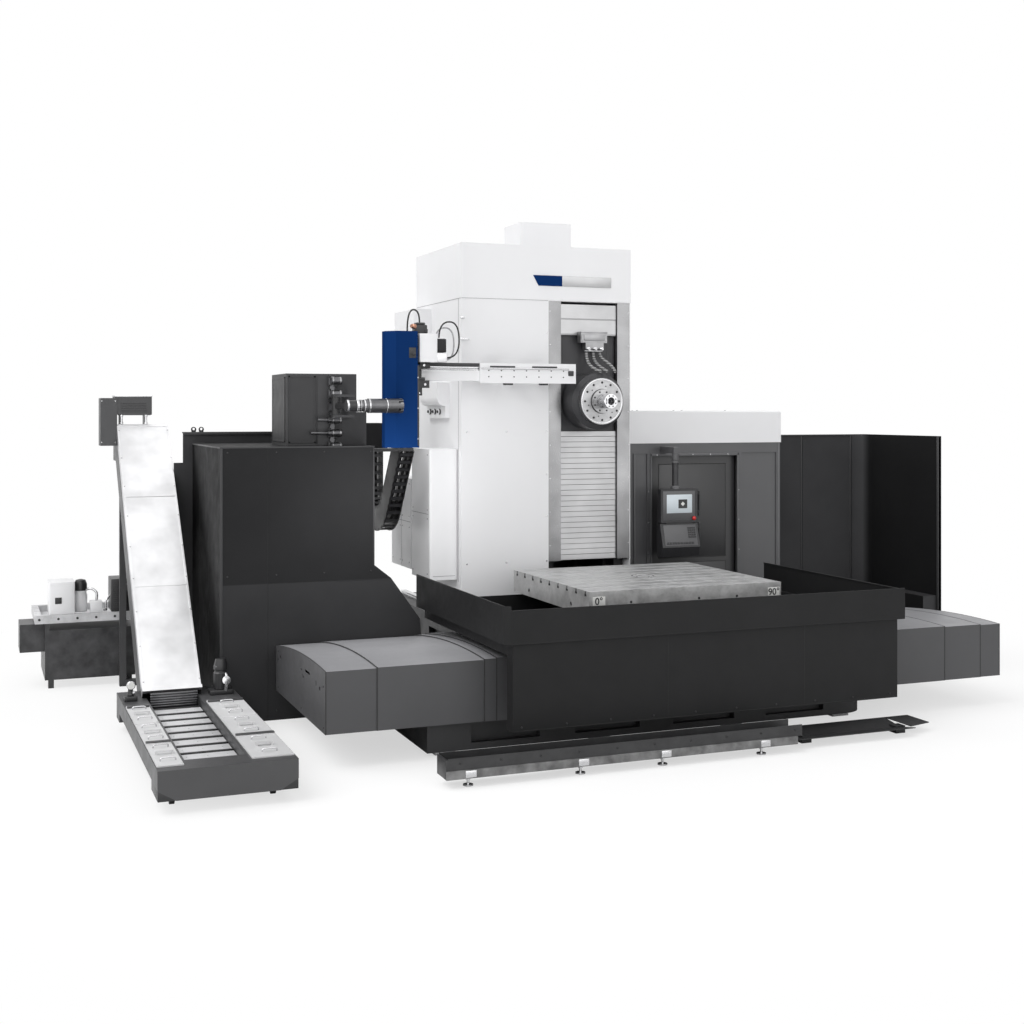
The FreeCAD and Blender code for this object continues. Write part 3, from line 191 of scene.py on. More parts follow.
def pipe(points, radius, sides=10, steps=6):
    """Round tube along a smooth path: a circle carried along Catmull-Rom spans through the
    given points, with closed ends."""
    p = np.array(points, float)
    q = np.vstack([2 * p[0] - p[1], p, 2 * p[-1] - p[-2]])
    t = np.linspace(0, 1, steps, endpoint=False)[:, None]
    spans = [0.5 * (2 * q[i + 1] + (q[i + 2] - q[i]) * t
            + (2 * q[i] - 5 * q[i + 1] + 4 * q[i + 2] - q[i + 3]) * t ** 2
            + (3 * q[i + 1] - q[i] - 3 * q[i + 2] + q[i + 3]) * t ** 3)
        for i in range(len(p) - 1)]
    line = np.vstack(spans + [p[-1:]])
    tangent = np.gradient(line, axis=0)
    tangent /= np.linalg.norm(tangent, axis=1)[:, None]
    ref = frame_of(tangent[0])[0]
    a = np.arange(sides) * PI2 / sides
    rings = []
    for c, d in zip(line, tangent):
        ref = ref - d * (ref @ d)
        ref /= np.linalg.norm(ref)
        other = np.cross(d, ref)
        rings.append(c + radius * (np.cos(a)[:, None] * ref + np.sin(a)[:, None] * other))
    return np.vstack(rings), capped(len(line), sides)


def swept(profile, axis, start, length):
    """Closed outline (pairs along the two axes after axis) carried straight along axis."""
    prof = np.array(profile, float)
    order = [(axis + 1) % 3, (axis + 2) % 3, axis]
    verts = np.zeros((2 * len(prof), 3))
    for k in (0, 1):
        rows = slice(k * len(prof), (k + 1) * len(prof))
        verts[rows, order[0]] = prof[:, 0]
        verts[rows, order[1]] = prof[:, 1]
        verts[rows, order[2]] = start + k * length
    return verts, capped(2, len(prof))


def outward(obj):
    """Makes every face of a closed piece point outwards."""
    bm = bmesh.new()
    bm.from_mesh(obj.data)
    bmesh.ops.recalc_face_normals(bm, faces=bm.faces)
    bm.to_mesh(obj.data)
    bm.free()
    return obj


def piece(name, shapes, finish, body, sharp=35, slot=None, stands_for=()):
    """A finished piece out of several surfaces. Edges steeper than sharp degrees stay hard, and
    where sharp is 0 all is flat-shaded. The slot, the finish's own if none is said, is not used."""
    obj = outward(
        add_mesh(name, *joined(shapes), FINISH[finish], body, sharp > 0, slot or SLOTS[finish]))
    if sharp:
        obj.data.set_sharp_from_angle(angle=math.radians(sharp))
    if stands_for:
        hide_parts(*stands_for)
    return obj


def screws(places, axis, radius=0.009, height=0.006):
    """Socket-head screws: the head with its rounded rim and sunk socket at every place."""
    r, h = radius, height
    profile = [(r, 0), (r, 0.7 * h), (0.8 * r, h), (0.5 * r, h), (0.45 * r, 0.35 * h)]
    return [turned(profile, place, axis, 10) for place in places]


def ring(count, radius, centre, start=0.0):
    """Places at equal angles on a circle round a Y axis through centre."""
    a = start + np.arange(count) * PI2 / count
    x, y, z = centre
    return np.stack([x + radius * np.cos(a), np.full(count, y), z + radius * np.sin(a)], 1)


def folded(lo, hi, normal, lip=0.012, wall=0.0015):
    """Sheet panel with a raised rim: four thin flanges round a flat plate, seen along normal
    (0 for X, 1 for Y, 2 for Z)."""
    lo, hi = np.array(lo, float), np.array(hi, float)
    a, b = [k for k in range(3) if k != normal]
    shapes = [slab(lo, hi, 0.001, 0.001, 2, normal)]
    for axis in (a, b):
        for end in (0, 1):
            p, q = lo.copy(), hi.copy()
            if end:
                p[axis] = hi[axis] - lip
            else:
                q[axis] = lo[axis] + lip
            p[normal] -= wall
            shapes.append(slab(p, q, 0.0007, 0.001, 2, normal))
    return shapes


SEAM = 0.0012


def blocks(*rows):
    """Softened blocks: every row has a block's low and high corner, six numbers, and then the
    edge radius and whatever else slab takes."""
    return [slab(row[:3], row[3:6], *row[6:]) for row in rows]


def seams(*rows):
    """Narrow gaps between two sheets, as thin strips with softened edges."""
    return blocks(*((*row, 0.0004, 0.0006, 2, 2) for row in rows))


# -------------------- finishes
class Nodes:
    """Short hand for building one material's node tree."""

    def __init__(self, name):
        self.material = bpy.data.materials.get(name) or bpy.data.materials.new(name)
        self.material.use_nodes = True
        self.tree = self.material.node_tree
        self.tree.nodes.clear()
        self.out = self.new("OutputMaterial")
        self.shader = self.new("BsdfPrincipled")
        self.link(self.shader.outputs[0], self.out.inputs[0])
        place = self.new("TexCoord")
        self.where, self.where_normal = place.outputs["Object"], place.outputs["Normal"]

    def new(self, kind, **options):
        """A new shader node, with its options."""
        node = self.tree.nodes.new("ShaderNode" + kind)
        for key, value in options.items():
            setattr(node, key, value)
        return node

    def link(self, a, b):
        """Joins an output to an input, or to one of the shader's sockets by its name."""
        self.tree.links.new(a, self.shader.inputs[b] if isinstance(b, str) else b)

    def mapped(self, scale):
        """Object coordinates stretched by scale along X, Y and Z."""
        node = self.new("Mapping")
        node.inputs["Scale"].default_value = scale
        self.link(self.where, node.inputs[0])
        return node.outputs[0]

    def noise(self, scale, detail=4.0, where=None, rough=0.55):
        """Fractal noise, as a grey value."""
        node = self.new("TexNoise")
        node.inputs["Scale"].default_value = scale
        node.inputs["Detail"].default_value = detail
        node.inputs["Roughness"].default_value = rough
        self.link(where or self.where, node.inputs["Vector"])
        return node.outputs[0]

    def ramp(self, value, low, high, a, b):
        """Maps value from low..high onto the numbers or colours a..b."""
        if isinstance(a, (tuple, list)):
            node = self.new("ValToRGB")
            for stop, place, colour in zip(node.color_ramp.elements, (low, high), (a, b)):
                stop.position = place
                stop.color = (*colour[:3], 1.0)
            self.link(value, node.inputs[0])
            return node.outputs[0]
        node = self.new("MapRange")
        for key, number in zip(("From Min", "From Max", "To Min", "To Max"), (low, high, a, b)):
            node.inputs[key].default_value = number
        self.link(value, node.inputs[0])
        return node.outputs[0]

    def cloudy(self, colour, low, high, scale=1.6, detail=5.0, value=None, ends=(0.3, 0.7)):
        """The colour, from low to high times as bright, after a noise of the given scale."""
        value = value or self.noise(scale, detail)
        return self.ramp(value, *ends, shade(colour, low), shade(colour, high))

    def bump(self, height, strength, distance=0.001):
        """Adds a bump to the shader's normal."""
        node = self.new("Bump")
        node.inputs["Strength"].default_value = strength
        node.inputs["Distance"].default_value = distance
        self.link(height, node.inputs["Height"])
        self.link(node.outputs[0], "Normal")

    def set(self, **values):
        """Sets the shader's sockets by their names, with _ for a space."""
        for key, value in values.items():
            self.shader.inputs[key.replace("_", " ")].default_value = value


def shade(colour, k):
    """The colour, lighter or darker by the factor k."""
    return tuple((min(1.0, c * k) for c in colour[:3]))


def painted(name, colour, rough=0.42, vary=0.08, grain=900.0, depth=0.12, metallic=0.0, gloss=0.5):
    """Powder coat: faint cloudy variation of colour and gloss, and fine orange peel."""
    n = Nodes(name)
    n.link(n.cloudy(colour, 1 - vary, 1 + vary), "Base Color")
    n.link(n.ramp(n.noise(7.0, 6.0), 0.3, 0.7, rough - 0.06, rough + 0.06), "Roughness")
    n.bump(n.noise(grain, 2.0), depth, 0.0006)
    n.set(Metallic=metallic, Specular_IOR_Level=gloss)
    return n.material


# Height of the magazine's panel fold; below it the face-dependent paint is scaled by its foot
# factor, a painted light for the flared lower panel.
LOWER_PANEL_LIGHT_HEIGHT = 1.148


def face_shaded_paint(name, colour, left=1.0, top=1.0, right=1.0, rough=0.42, vary=0.06, gloss=0.4, foot=1.0):
    """Paint with painted light and shade by the way a face looks: other tones to the left, right
    and up, and below the magazine's fold height a tone scaled by foot, a painted light for its
    lower panel."""
    n = Nodes(name)
    parts = n.new("SeparateXYZ")
    n.link(n.where_normal, parts.inputs[0])
    tone = n.cloudy(colour, 1 - vary, 1 + vary)
    # Painted light and shade: faces turned left, up and right are scaled by their own factors.
    for axis, low, high, factor in ((0, -0.7, -0.95, left), (2, 0.4, 0.8, top),
            (0, 0.7, 0.95, right)):
        mix = n.new("Mix", data_type="RGBA", blend_type="MULTIPLY")
        mix.inputs[7].default_value = (factor, factor, factor, 1.0)
        n.link(n.ramp(parts.outputs[axis], low, high, 0.0, 1.0), mix.inputs[0])
        n.link(tone, mix.inputs[6])
        tone = mix.outputs[2]
    # Painted light: below the fold height the colour is scaled by foot.
    if foot != 1.0:
        place = n.new("SeparateXYZ")
        n.link(n.where, place.inputs[0])
        scale = n.new("VectorMath", operation="SCALE")
        n.link(tone, scale.inputs[0])
        factor = n.ramp(place.outputs[2], LOWER_PANEL_LIGHT_HEIGHT - 0.004, LOWER_PANEL_LIGHT_HEIGHT + 0.004, foot, 1.0)
        n.link(factor, scale.inputs["Scale"])
        tone = scale.outputs[0]
    n.link(tone, "Base Color")
    n.link(n.ramp(n.noise(7.0, 6.0), 0.3, 0.7, rough - 0.06, rough + 0.06), "Roughness")
    n.bump(n.noise(800.0, 2.0), 0.1, 0.0006)
    n.set(Specular_IOR_Level=gloss)
    return n.material


def brushed(name, colour, along=(1.0, 1.0, 60.0), rough=0.3, vary=0.18, cloud=2.2):
    """Brushed stainless sheet: fine lines along one way, and broad cloudy reflections painted into
    its colour.
    """
    n = Nodes(name)
    lines = n.noise(18.0, 6.0, n.mapped(along), 0.7)
    # Painted reflections: the colour brightens and darkens in broad clouds.
    n.link(n.cloudy(colour, 1 - vary, 1 + vary, cloud, 3.0, ends=(0.3, 0.72)), "Base Color")
    n.link(n.ramp(lines, 0.3, 0.7, rough - 0.07, rough + 0.1), "Roughness")
    n.bump(lines, 0.12, 0.0005)
    n.set(Metallic=0.92)
    return n.material


def planed_iron(name, colour):
    """Planed cast iron: cross-hatched tool marks and dull spots."""
    n = Nodes(name)
    marks = n.noise(30.0, 4.0, n.mapped((1.0, 14.0, 1.0)))
    spots = n.noise(9.0, 8.0, None, 0.7)
    n.link(n.cloudy(colour, 0.78, 1.15, value=spots, ends=(0.35, 0.65)), "Base Color")
    n.link(n.ramp(spots, 0.3, 0.7, 0.28, 0.46), "Roughness")
    n.bump(marks, 0.15, 0.0006)
    n.set(Metallic=0.55)
    return n.material


def two_tone(name, height, low, high, rough=0.4):
    """Paint that changes from one colour to another at a height, with a worn cloudy surface."""
    n = Nodes(name)
    parts = n.new("SeparateXYZ")
    n.link(n.where, parts.inputs[0])
    share = n.ramp(parts.outputs[2], height - 0.001, height + 0.001, 0.0, 1.0)
    cloud = n.noise(9.0, 6.0)
    mix = n.new("Mix", data_type="RGBA")
    n.link(share, mix.inputs[0])
    n.link(n.cloudy(low, 0.45, 1.4, value=cloud), mix.inputs[6])
    n.link(n.cloudy(high, 0.8, 1.2, value=cloud), mix.inputs[7])
    n.link(mix.outputs[2], "Base Color")
    n.bump(n.noise(500.0, 2.0), 0.1, 0.0005)
    n.set(Roughness=rough, Specular_IOR_Level=0.35)
    return n.material


def rubbery(name, colour, rough=0.7):
    """Rubber or cable jacket: dark, dull, faintly mottled."""
    n = Nodes(name)
    n.link(n.cloudy(colour, 0.8, 1.3, 40.0, 4.0), "Base Color")
    n.bump(n.noise(600.0, 2.0), 0.1, 0.0005)
    n.set(Roughness=rough)
    return n.material


def banded(name, dark, light):
    """Jointed hose: dark links with paler collars that repeat along its height."""
    n = Nodes(name)
    wave = n.new("TexWave", bands_direction="Z")
    wave.inputs["Scale"].default_value = 14.0
    wave.inputs["Distortion"].default_value = 1.5
    n.link(n.where, wave.inputs["Vector"])
    n.link(n.ramp(wave.outputs[1], 0.72, 0.86, dark, light), "Base Color")
    n.bump(wave.outputs[1], 0.5, 0.002)
    n.set(Roughness=0.42)
    return n.material


def make_finishes():
    """All finishes by name."""
    s = settings()
    white, dark, grey = s.white_paint, s.dark_paint, s.grey_paint
    return {"white": painted("white_powder_coat", white, 0.38, 0.012, 700, 0.05),
        "dark": painted("charcoal_powder_coat", shade(dark, 1.4), 0.5, 0.12, 800, 0.14, 0.0, 0.3),
        # Painted light and shade by face direction: left faces and tops of the walls, magazine and
        # loading box are painted darker, and the magazine's lower panel is painted lighter.
        "wall": face_shaded_paint("splash_wall_paint", shade(dark, 1.9), 0.2, 0.6, 1.0, 0.55, 0.1, 0.06),
        "magazine": face_shaded_paint("magazine_paint", shade(dark, 0.85), 0.2, 0.8, 1.0, 0.55, 0.1, 0.04, 1.7),
        "box": face_shaded_paint("loading_box_paint", shade(dark, 2.0), 0.6, 0.7, 1.0, 0.5, 0.1, 0.3),
        "tray": painted("tray_black_coat", shade(dark, 0.45), 0.5, 0.12, 800, 0.12, 0.0, 0.18),
        # Painted light: the way covers' tops are painted 3.4 times lighter than their fronts.
        "grey": face_shaded_paint("grey_cover_paint", grey, 1.0, 3.4, 1.0, 0.46, 0.07, 0.3),
        "lid": painted("lid_grey_paint", (0.6, 0.6, 0.605), 0.4, 0.1, 800, 0.1),
        "belt": painted("belt_bright_plate", (0.6, 0.6, 0.61), 0.4, 0.15, 300, 0.1),
        "tank": painted("tank_grey_paint", shade(grey, 0.68), 0.44, 0.12, 700, 0.12),
        "cabin": painted("cabin_grey_paint", shade(grey, 1.2), 0.4, 0.06, 900, 0.08),
        # Door and panes painted dark grey: painted shade of the dim cabin inside, where the door
        # has windows.
        "door": painted("door_grey_paint", shade(grey, 0.42), 0.34, 0.06, 900, 0.08),
        "blue": painted("blue_hood_paint", s.blue_paint, 0.5, 0.06, 800, 0.06, 0.0, 0.0),
        "casting": painted("black_casting_paint", (0.012, 0.012, 0.013), 0.55, 0.2, 260, 0.3),
        "head": painted("headstock_grey_paint", (0.045, 0.045, 0.048), 0.36, 0.12, 600, 0.08, 0.0,
            0.3),
        "black": painted("black_satin_paint", (0.014, 0.014, 0.015), 0.4, 0.2, 500, 0.1),
        "steel": brushed("ground_steel", (0.55, 0.55, 0.56), (1, 1, 20), 0.22, 0.12, 6.0),
        "nose": brushed("spindle_ring_steel", (0.34, 0.34, 0.345), (1, 1, 20), 0.3, 0.2, 9.0),
        "tool": brushed("tool_steel_dark", (0.13, 0.13, 0.135), (1, 1, 20), 0.34, 0.25, 9.0),
        "stainless": brushed("stainless_upright", (0.27, 0.27, 0.274), (30, 30, 1), 0.3, 0.45, 1.3),
        "slats": brushed("stainless_slats", (0.41, 0.41, 0.415), (1, 1, 30), 0.36, 0.14, 2.0),
        "box_steel": brushed("nozzle_box_sheet", (0.27, 0.27, 0.275), (1, 1, 30), 0.34, 0.2, 6.0),
        "cover": brushed("stainless_conveyor", (0.66, 0.66, 0.67), (40, 1, 1), 0.38, 0.16, 3.0),
        "iron": planed_iron("planed_table_iron", (0.45, 0.45, 0.45)),
        "trough": two_tone("trough_finish", 0.124, (0.15, 0.15, 0.15), (0.03, 0.03, 0.031)),
        "oil": two_tone("oil_unit_finish", 0.605, (0.045, 0.045, 0.047), (0.56, 0.56, 0.57)),
        "rubber": rubbery("black_rubber", (0.016, 0.016, 0.016)),
        "plastic": rubbery("black_plastic", (0.02, 0.02, 0.022), 0.45),
        "copper": painted("copper_fitting", (0.42, 0.22, 0.15), 0.35, 0.1, 300, 0.1, 0.9),
        "red": painted("red_button", (0.55, 0.02, 0.02), 0.25, 0.05, 300, 0.02),
        "screen": painted("lit_screen", (0.62, 0.68, 0.72), 0.2, 0.1, 10, 0.0),
        "seam": painted("white_seam_shadow", (0.22, 0.22, 0.23), 0.6, 0.1, 700, 0.05),
        "seam_dark": painted("dark_seam_shadow", (0.004, 0.004, 0.004), 0.7, 0.2, 700, 0.05),
        "trim": painted("grey_trim", shade(grey, 1.35), 0.35, 0.08, 900, 0.06),
        "label": painted("label_white", (0.72, 0.72, 0.7), 0.4, 0.03, 300, 0.03),
        "hose": banded("jointed_hose", (0.12, 0.12, 0.12), (0.42, 0.42, 0.42)),
        "light_cable": rubbery("light_cable_jacket", (0.35, 0.35, 0.36), 0.5)}


NODE_FINISH = {
    "white": ("column_cover", "column_top_housing", "column_cabinets", "cabin_roof", "atc_rail"),
    "tray": ("splash_tray",), "wall": ("standing_walls",), "magazine": ("magazine_housing",),
    "box": ("loading_box",), "oil": ("oil_tank",),
    "grey": ("way_cover_left_1", "way_cover_left_2", "way_cover_left_3", "way_cover_left_4",
        "way_cover_right_1", "way_cover_right_2", "way_cover_right_3", "way_cover_right_4"),
    "cabin": ("cabin_frame", "cabin_panels"), "door": ("cabin_door",),
    "tank": ("coolant_tank", "conveyor_body"), "blue": ("atc_hood",),
    "casting": ("bed_x", "bed_z", "x_saddle", "column_casting", "drip_gutter"),
    "head": ("headstock",), "black": ("transfer_arm",), "plastic": ("control_pendant",),
    "steel": ("guide_rails", "boring_spindle", "levelling_feet"),
    "nose": ("spindle_flange", "spindle_sleeve"), "tool": ("staged_tool", "tool_chain"),
    "stainless": ("slot_strips",), "box_steel": ("coolant_manifold",),
    "cover": ("conveyor_covers",), "lid": ("tank_lids",), "trough": ("chip_trough",),
    "iron": ("rotary_table",),
    "rubber": ("tank_wheel_1", "tank_wheel_2", "tank_wheel_3", "tank_wheel_4")}


SLOTS = {"belt": "ground_steel", "black": "ground_steel", "blue": "blue_paint",
    "box_steel": "stainless_sheet", "copper": "ground_steel", "cover": "stainless_sheet",
    "dark": "dark_enclosure_paint", "door": "grey_cover_paint", "label": "white_paint",
    "lid": "grey_cover_paint", "nose": "ground_steel", "plastic": "black_plastic",
    "red": "red_plastic", "rubber": "black_rubber", "screen": "black_plastic",
    "seam": "white_paint", "seam_dark": "dark_enclosure_paint", "slats": "stainless_sheet",
    "steel": "ground_steel", "tank": "grey_cover_paint", "tool": "ground_steel",
    "tray": "dark_enclosure_paint", "trim": "black_plastic", "white": "atc_paint"}


def dress_nodes():
    """Gives every CAD node that stays visible its finish."""
    for key, names in NODE_FINISH.items():
        for name in names:
            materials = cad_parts[name].data.materials
            materials.clear()
            materials.append(FINISH[key])


# -------------------- places read from the frame
def span(node):
    """Lowest and highest corner of a node at rest, as arrays."""
    lo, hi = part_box(node)
    return np.array(lo), np.array(hi)


# -------------------- slat covers and bellows
def slat_profile(z0, z1, count, front, back, lean):
    """Outline of a slatted apron: each slat leans out by lean at its lower edge."""
    step = (z1 - z0) / count
    k = np.arange(count)
    low = np.stack([np.full(count, front + lean), z0 + k * step], 1)
    lip = np.stack([np.full(count, front), z0 + (k + 0.1) * step], 1)
    top = np.stack([np.full(count, front + 0.3 * lean), z0 + (k + 1) * step], 1)
    zig = np.stack([low, lip, top], 1).reshape(-1, 2)
    return np.vstack([zig, [[back, z1], [back, z0]]])


def make_slats():
    """Slat covers of the slot and the bellows behind the table."""
    slat_lean, folds, fold_depth = 0.004, 16, 0.03
    for name, node, count, a, b in (("lower_slats", "lower_slat_cover", 24, "column", "head"),
            ("upper_slats", "upper_slat_cover", 2, "head", "column")):
        lo, hi = span(node)
        prof = slat_profile(lo[2], hi[2], count, lo[1], hi[1], slat_lean)
        verts, faces = swept(prof, 0, lo[0], hi[0] - lo[0])
        obj = outward(add_mesh(name, verts, faces, FINISH["slats"], None, slot="stainless_sheet"))
        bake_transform(obj)
        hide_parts(node)
    lo, hi = span("z_bellows")
    k = np.arange(folds + 1)
    y = lo[1] + (hi[1] - lo[1]) * k / folds
    top = np.stack([y, np.where(k % 2, hi[2], hi[2] - fold_depth)], 1)
    low = np.stack([y, np.where(k % 2, lo[2] + fold_depth, lo[2])], 1)[::-1]
    verts, faces = swept(np.vstack([top, low]), 0, lo[0], hi[0] - lo[0])
    obj = outward(
        add_mesh("column_bellows", verts, faces, FINISH["rubber"], None, slot="black_rubber"))
    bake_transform(obj)
    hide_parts("z_bellows")


# -------------------- column
def make_name_plate(front):
    """Bare plate on the top housing: a blue end with a slanted edge, and a bright long part."""
    x0, x1, x2, z0, z1, thick = 0.077, 0.368, 0.871, 3.752, 3.848, 0.006
    blue = [(z1, x0), (z1, x1), (z0, x1), (z0, x0 + 0.055)]
    piece("plate_blue_end", [swept(blue, 1, front - thick, thick)], "blue", "column", sharp=0)
    piece("plate_bright_end", blocks((x1, front - thick, z0, x2, front, z1, 0.002, 0.003, 3, 1)),
        "slats", "column", sharp=40)


def make_column():
    """Screws, seams, latches and the bare name plate of the column housing."""
    lo, hi = span("column_cover")
    top_lo, _ = span("column_top_housing")
    s_lo, s_hi = span("slot_strips")
    front = lo[1]
    make_name_plate(top_lo[1])
    spots = [(x, front, z) for z in (1.212, 2.407) for x in (-0.566, -0.185, 0.215)]
    spots += [(0.215, front, z) for z in (1.625, 2.013, 3.318)]
    piece("cover_screws", screws(spots, FRONT, 0.008, 0.005), "steel", "column")
    edge = [(x, s_lo[1], z) for x in (s_lo[0] + 0.014, s_hi[0] - 0.014)
        for z in np.arange(1.35, 3.55, 0.31)]
    piece("strip_screws", screws(edge, FRONT, 0.006, 0.004), "steel", "column")
    side = seams((lo[0] - SEAM, 0.075, lo[2] + 0.2, lo[0], 0.081, hi[2]),
        (lo[0] - SEAM, front + 0.02, hi[2] - 0.003, lo[0], hi[1], hi[2] + 0.002),
        (lo[0], front - SEAM, hi[2] - 0.003, 0.23, front, hi[2] + 0.001),
        (hi[0], 0.3, 1.0, hi[0] + SEAM, 0.306, hi[2]),
        (hi[0], 0.95, 1.0, hi[0] + SEAM, 0.956, hi[2]),
        (0.2, hi[1], 1.0, 0.206, hi[1] + SEAM, hi[2]))
    piece("cover_seams", side, "seam", "column", sharp=0)
    latch = blocks((lo[0] - 0.012, -0.012, 3.238, lo[0] + 0.075, -0.001, 3.252, 0.002),
        (lo[0] - 0.012, -0.012, 3.43, lo[0] + 0.028, -0.001, 3.452, 0.002))
    latch += screws([(lo[0] + 0.02, -0.012, 3.245), (lo[0] + 0.01, -0.012, 3.441)], FRONT, 0.008)
    piece("panel_latches", latch, "steel", "column")
    roof = [(x, y, 4.126) for x in (0.1, 0.324, 0.548) for y in (0.262, 0.698)]
    piece("duct_screws", screws(roof, UP, 0.009, 0.006), "steel", "column")


def make_cabinets():
    """Door seams, screws and plugs of the service cabinets on the column's left flank."""
    x = span("column_cabinets")[0][0]
    lines = seams((x - SEAM, 0.12, 1.66, x, 0.62, 1.664), (x - SEAM, 0.66, 1.55, x, 1.25, 1.554),
        (x - SEAM, 0.95, 1.13, x, 0.954, 1.95), (x - SEAM, 0.638, 1.12, x, 0.643, 1.955),
        (-0.86, 0.0888, 1.1, -0.65, 0.09, 1.104))
    piece("cabinet_seams", lines, "seam", "column", sharp=0)
    spots = [(x, y, z) for y in (0.7, 0.92, 0.99, 1.23) for z in (1.17, 1.5, 1.6, 1.91)]
    spots += [(x, y, z) for y in (0.15, 0.58) for z in (1.12, 1.62, 1.7, 2.2)]
    piece("cabinet_screws", screws(spots, LEFT, 0.007, 0.004), "steel", "column")
    plugs = [turned([(0.024, 0), (0.027, 0.004), (0.027, 0.012), (0.02, 0.02), (0.014, 0.02),
                (0.012, 0.034)], (-0.66, y, 2.59), LEFT, 20) for y in (0.48, 0.62, 0.76)]
    piece("cabinet_plugs", plugs, "plastic", "column")


def make_rail():
    """Guide rail, cable strip, slots, plug and feet of the changer's cantilever rail."""
    lo, hi = span("atc_rail")
    beam_top, front, shelf = 2.951, lo[1], hi[2]
    shelf_x = -0.56
    guide = [swept([(-0.3, beam_top), (-0.3, beam_top + 0.012), (-0.292, beam_top + 0.018),
                (-0.3, beam_top + 0.026), (-0.3, beam_top + 0.034), (-0.25, beam_top + 0.034),
                (-0.25, beam_top + 0.026), (-0.258, beam_top + 0.018), (-0.25, beam_top + 0.012),
                (-0.25, beam_top)], 0, lo[0] + 0.01, 1.42),
        pipe([(lo[0] + 0.02, -0.316, 2.962), (-0.58, -0.316, 2.962)], 0.007),
        pipe([(-0.55, front - 0.008, 2.972), (0.29, front - 0.008, 2.972)], 0.006)]
    piece("rail_guide", guide, "steel", "column", sharp=40)
    dark = blocks((lo[0] + 0.05, -0.315, shelf - 0.034, shelf_x, -0.245, shelf - 0.002, 0.004),
        (-0.469, front - 0.004, 2.982, -0.23, front, 2.996, 0.0015),
        (-0.067, front - 0.004, 2.982, 0.177, front, 2.996, 0.0015),
        (0.286, front - 0.012, 2.912, 0.338, front, 2.958, 0.005),
        (-0.317, -0.31, 2.828, -0.24, -0.25, 2.862, 0.004),
        (0.031, -0.31, 2.828, 0.1, -0.25, 2.862, 0.004))
    dots = [(-0.48 + 0.12 * k, front, z) for k in range(7) for z in (2.9, 2.955)]
    dark += screws(dots, FRONT, 0.006, 0.003)
    piece("rail_trim", dark, "plastic", "column", sharp=40)


# -------------------- headstock
def hose(name, route, node, body, radius, finish):
    """Free cord: one open NURBS spline of order 3 with the route's points as control points."""
    data = bpy.data.curves.new(name, "CURVE")
    data.dimensions = "3D"
    data.bevel_depth = radius
    data.bevel_resolution = 4
    data.use_fill_caps = True
    spline = data.splines.new("NURBS")
    spline.points.add(len(route) - 1)
    for point, place in zip(spline.points, route):
        point.co = (*place, 1.0)
    spline.order_u = 3
    spline.use_endpoint_u = True
    spline.resolution_u = 16
    obj = linked(name, data)
    data.materials.append(FINISH[finish])
    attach(obj, body)
    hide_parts(node)


HOSES = (
    ((0.61, -0.02, 3.15), (0.61, -0.02, 3.07), (0.622, -0.14, 2.985), (0.668, -0.215, 2.962)),
    ((0.68, -0.02, 3.15), (0.68, -0.02, 3.075), (0.694, -0.16, 2.995), (0.722, -0.235, 2.964)),
    ((0.745, -0.02, 3.15), (0.745, -0.02, 3.1), (0.822, -0.13, 3.02), (0.808, -0.225, 2.962)))
HOSE_LENGTHS, HOSE_RADIUS = (0.303, 0.308, 0.302), 0.0142
CABLES = (((-0.925, -0.475, 3.055), (-0.806, -0.475, 3.055), (-0.806, -0.46, 3.372),
        (-0.985, -0.452, 3.36), (-0.985, -0.452, 3.215)),
    ((-0.925, -0.44, 3.038), (-0.842, -0.44, 3.038), (-0.842, -0.425, 3.322),
        (-1.003, -0.418, 3.31), (-1.003, -0.418, 3.215)),
    ((-1.15, -0.42, 3.355), (-1.15, -0.42, 3.468), (-1.264, -0.434, 3.462),
        (-1.264, -0.434, 3.275)))
CABLE_LENGTHS, CABLE_RADIUS = (0.623, 0.511, 0.351), 0.007


def make_hoses():
    """Jointed coolant hoses that hang from the nozzle box to the spindle nose."""
    for k, (route, length) in enumerate(zip(HOSES, HOSE_LENGTHS)):
        hose("coolant_hose_%d" % (k + 1), route, "coolant_hoses", "head", HOSE_RADIUS, "hose")


def make_head():
    """Bolts of the spindle ring, screws of the sleeve and quill, nozzle box and valves."""
    quill_lo, quill_hi = span("boring_spindle")
    flange_lo, _ = span("spindle_flange")
    sleeve_lo, _ = span("spindle_sleeve")
    sx, sz = (quill_lo[0] + quill_hi[0]) / 2, (quill_lo[2] + quill_hi[2]) / 2
    y = flange_lo[1]
    piece("ring_bolts", screws(ring(12, 0.172, (sx, y + 0.012, sz)), FRONT, 0.0098, 0.012),
        "black", "head")
    small = screws(ring(6, 0.142, (sx, y, sz), 0.26), FRONT, 0.006, 0.003)
    rim = hoop([(0.196, 0), (0.2, 0.0012), (0.204, 0.0012), (0.208, 0)], (sx, y, sz), FRONT, 64)
    piece("ring_small_screws", small, "black", "head")
    piece("ring_edge", [rim], "steel", "head")
    piece("sleeve_screws",
        screws(ring(8, 0.09, (sx, sleeve_lo[1] + 0.014, sz), PI2 / 16), FRONT, 0.008, 0.006),
        "black", "sleeve")
    piece("quill_screws",
        screws(ring(8, 0.05, (sx, quill_lo[1], sz), PI2 / 16), FRONT, 0.006, 0.003), "black",
        "quill")
    make_nozzle_box()
    lo, hi = span("headstock")
    lines = seams((lo[0] + 0.03, 0.0588, lo[2] + 0.02, lo[0] + 0.034, 0.06, hi[2] - 0.01),
        (hi[0] - 0.075, 0.0588, lo[2] + 0.02, hi[0] - 0.07, 0.06, hi[2] - 0.01),
        (hi[0] - 0.04, 0.0588, lo[2] + 0.02, hi[0] - 0.036, 0.06, hi[2] - 0.01))
    piece("head_plate_lines", lines, "black", "head", sharp=0, slot="head_paint")


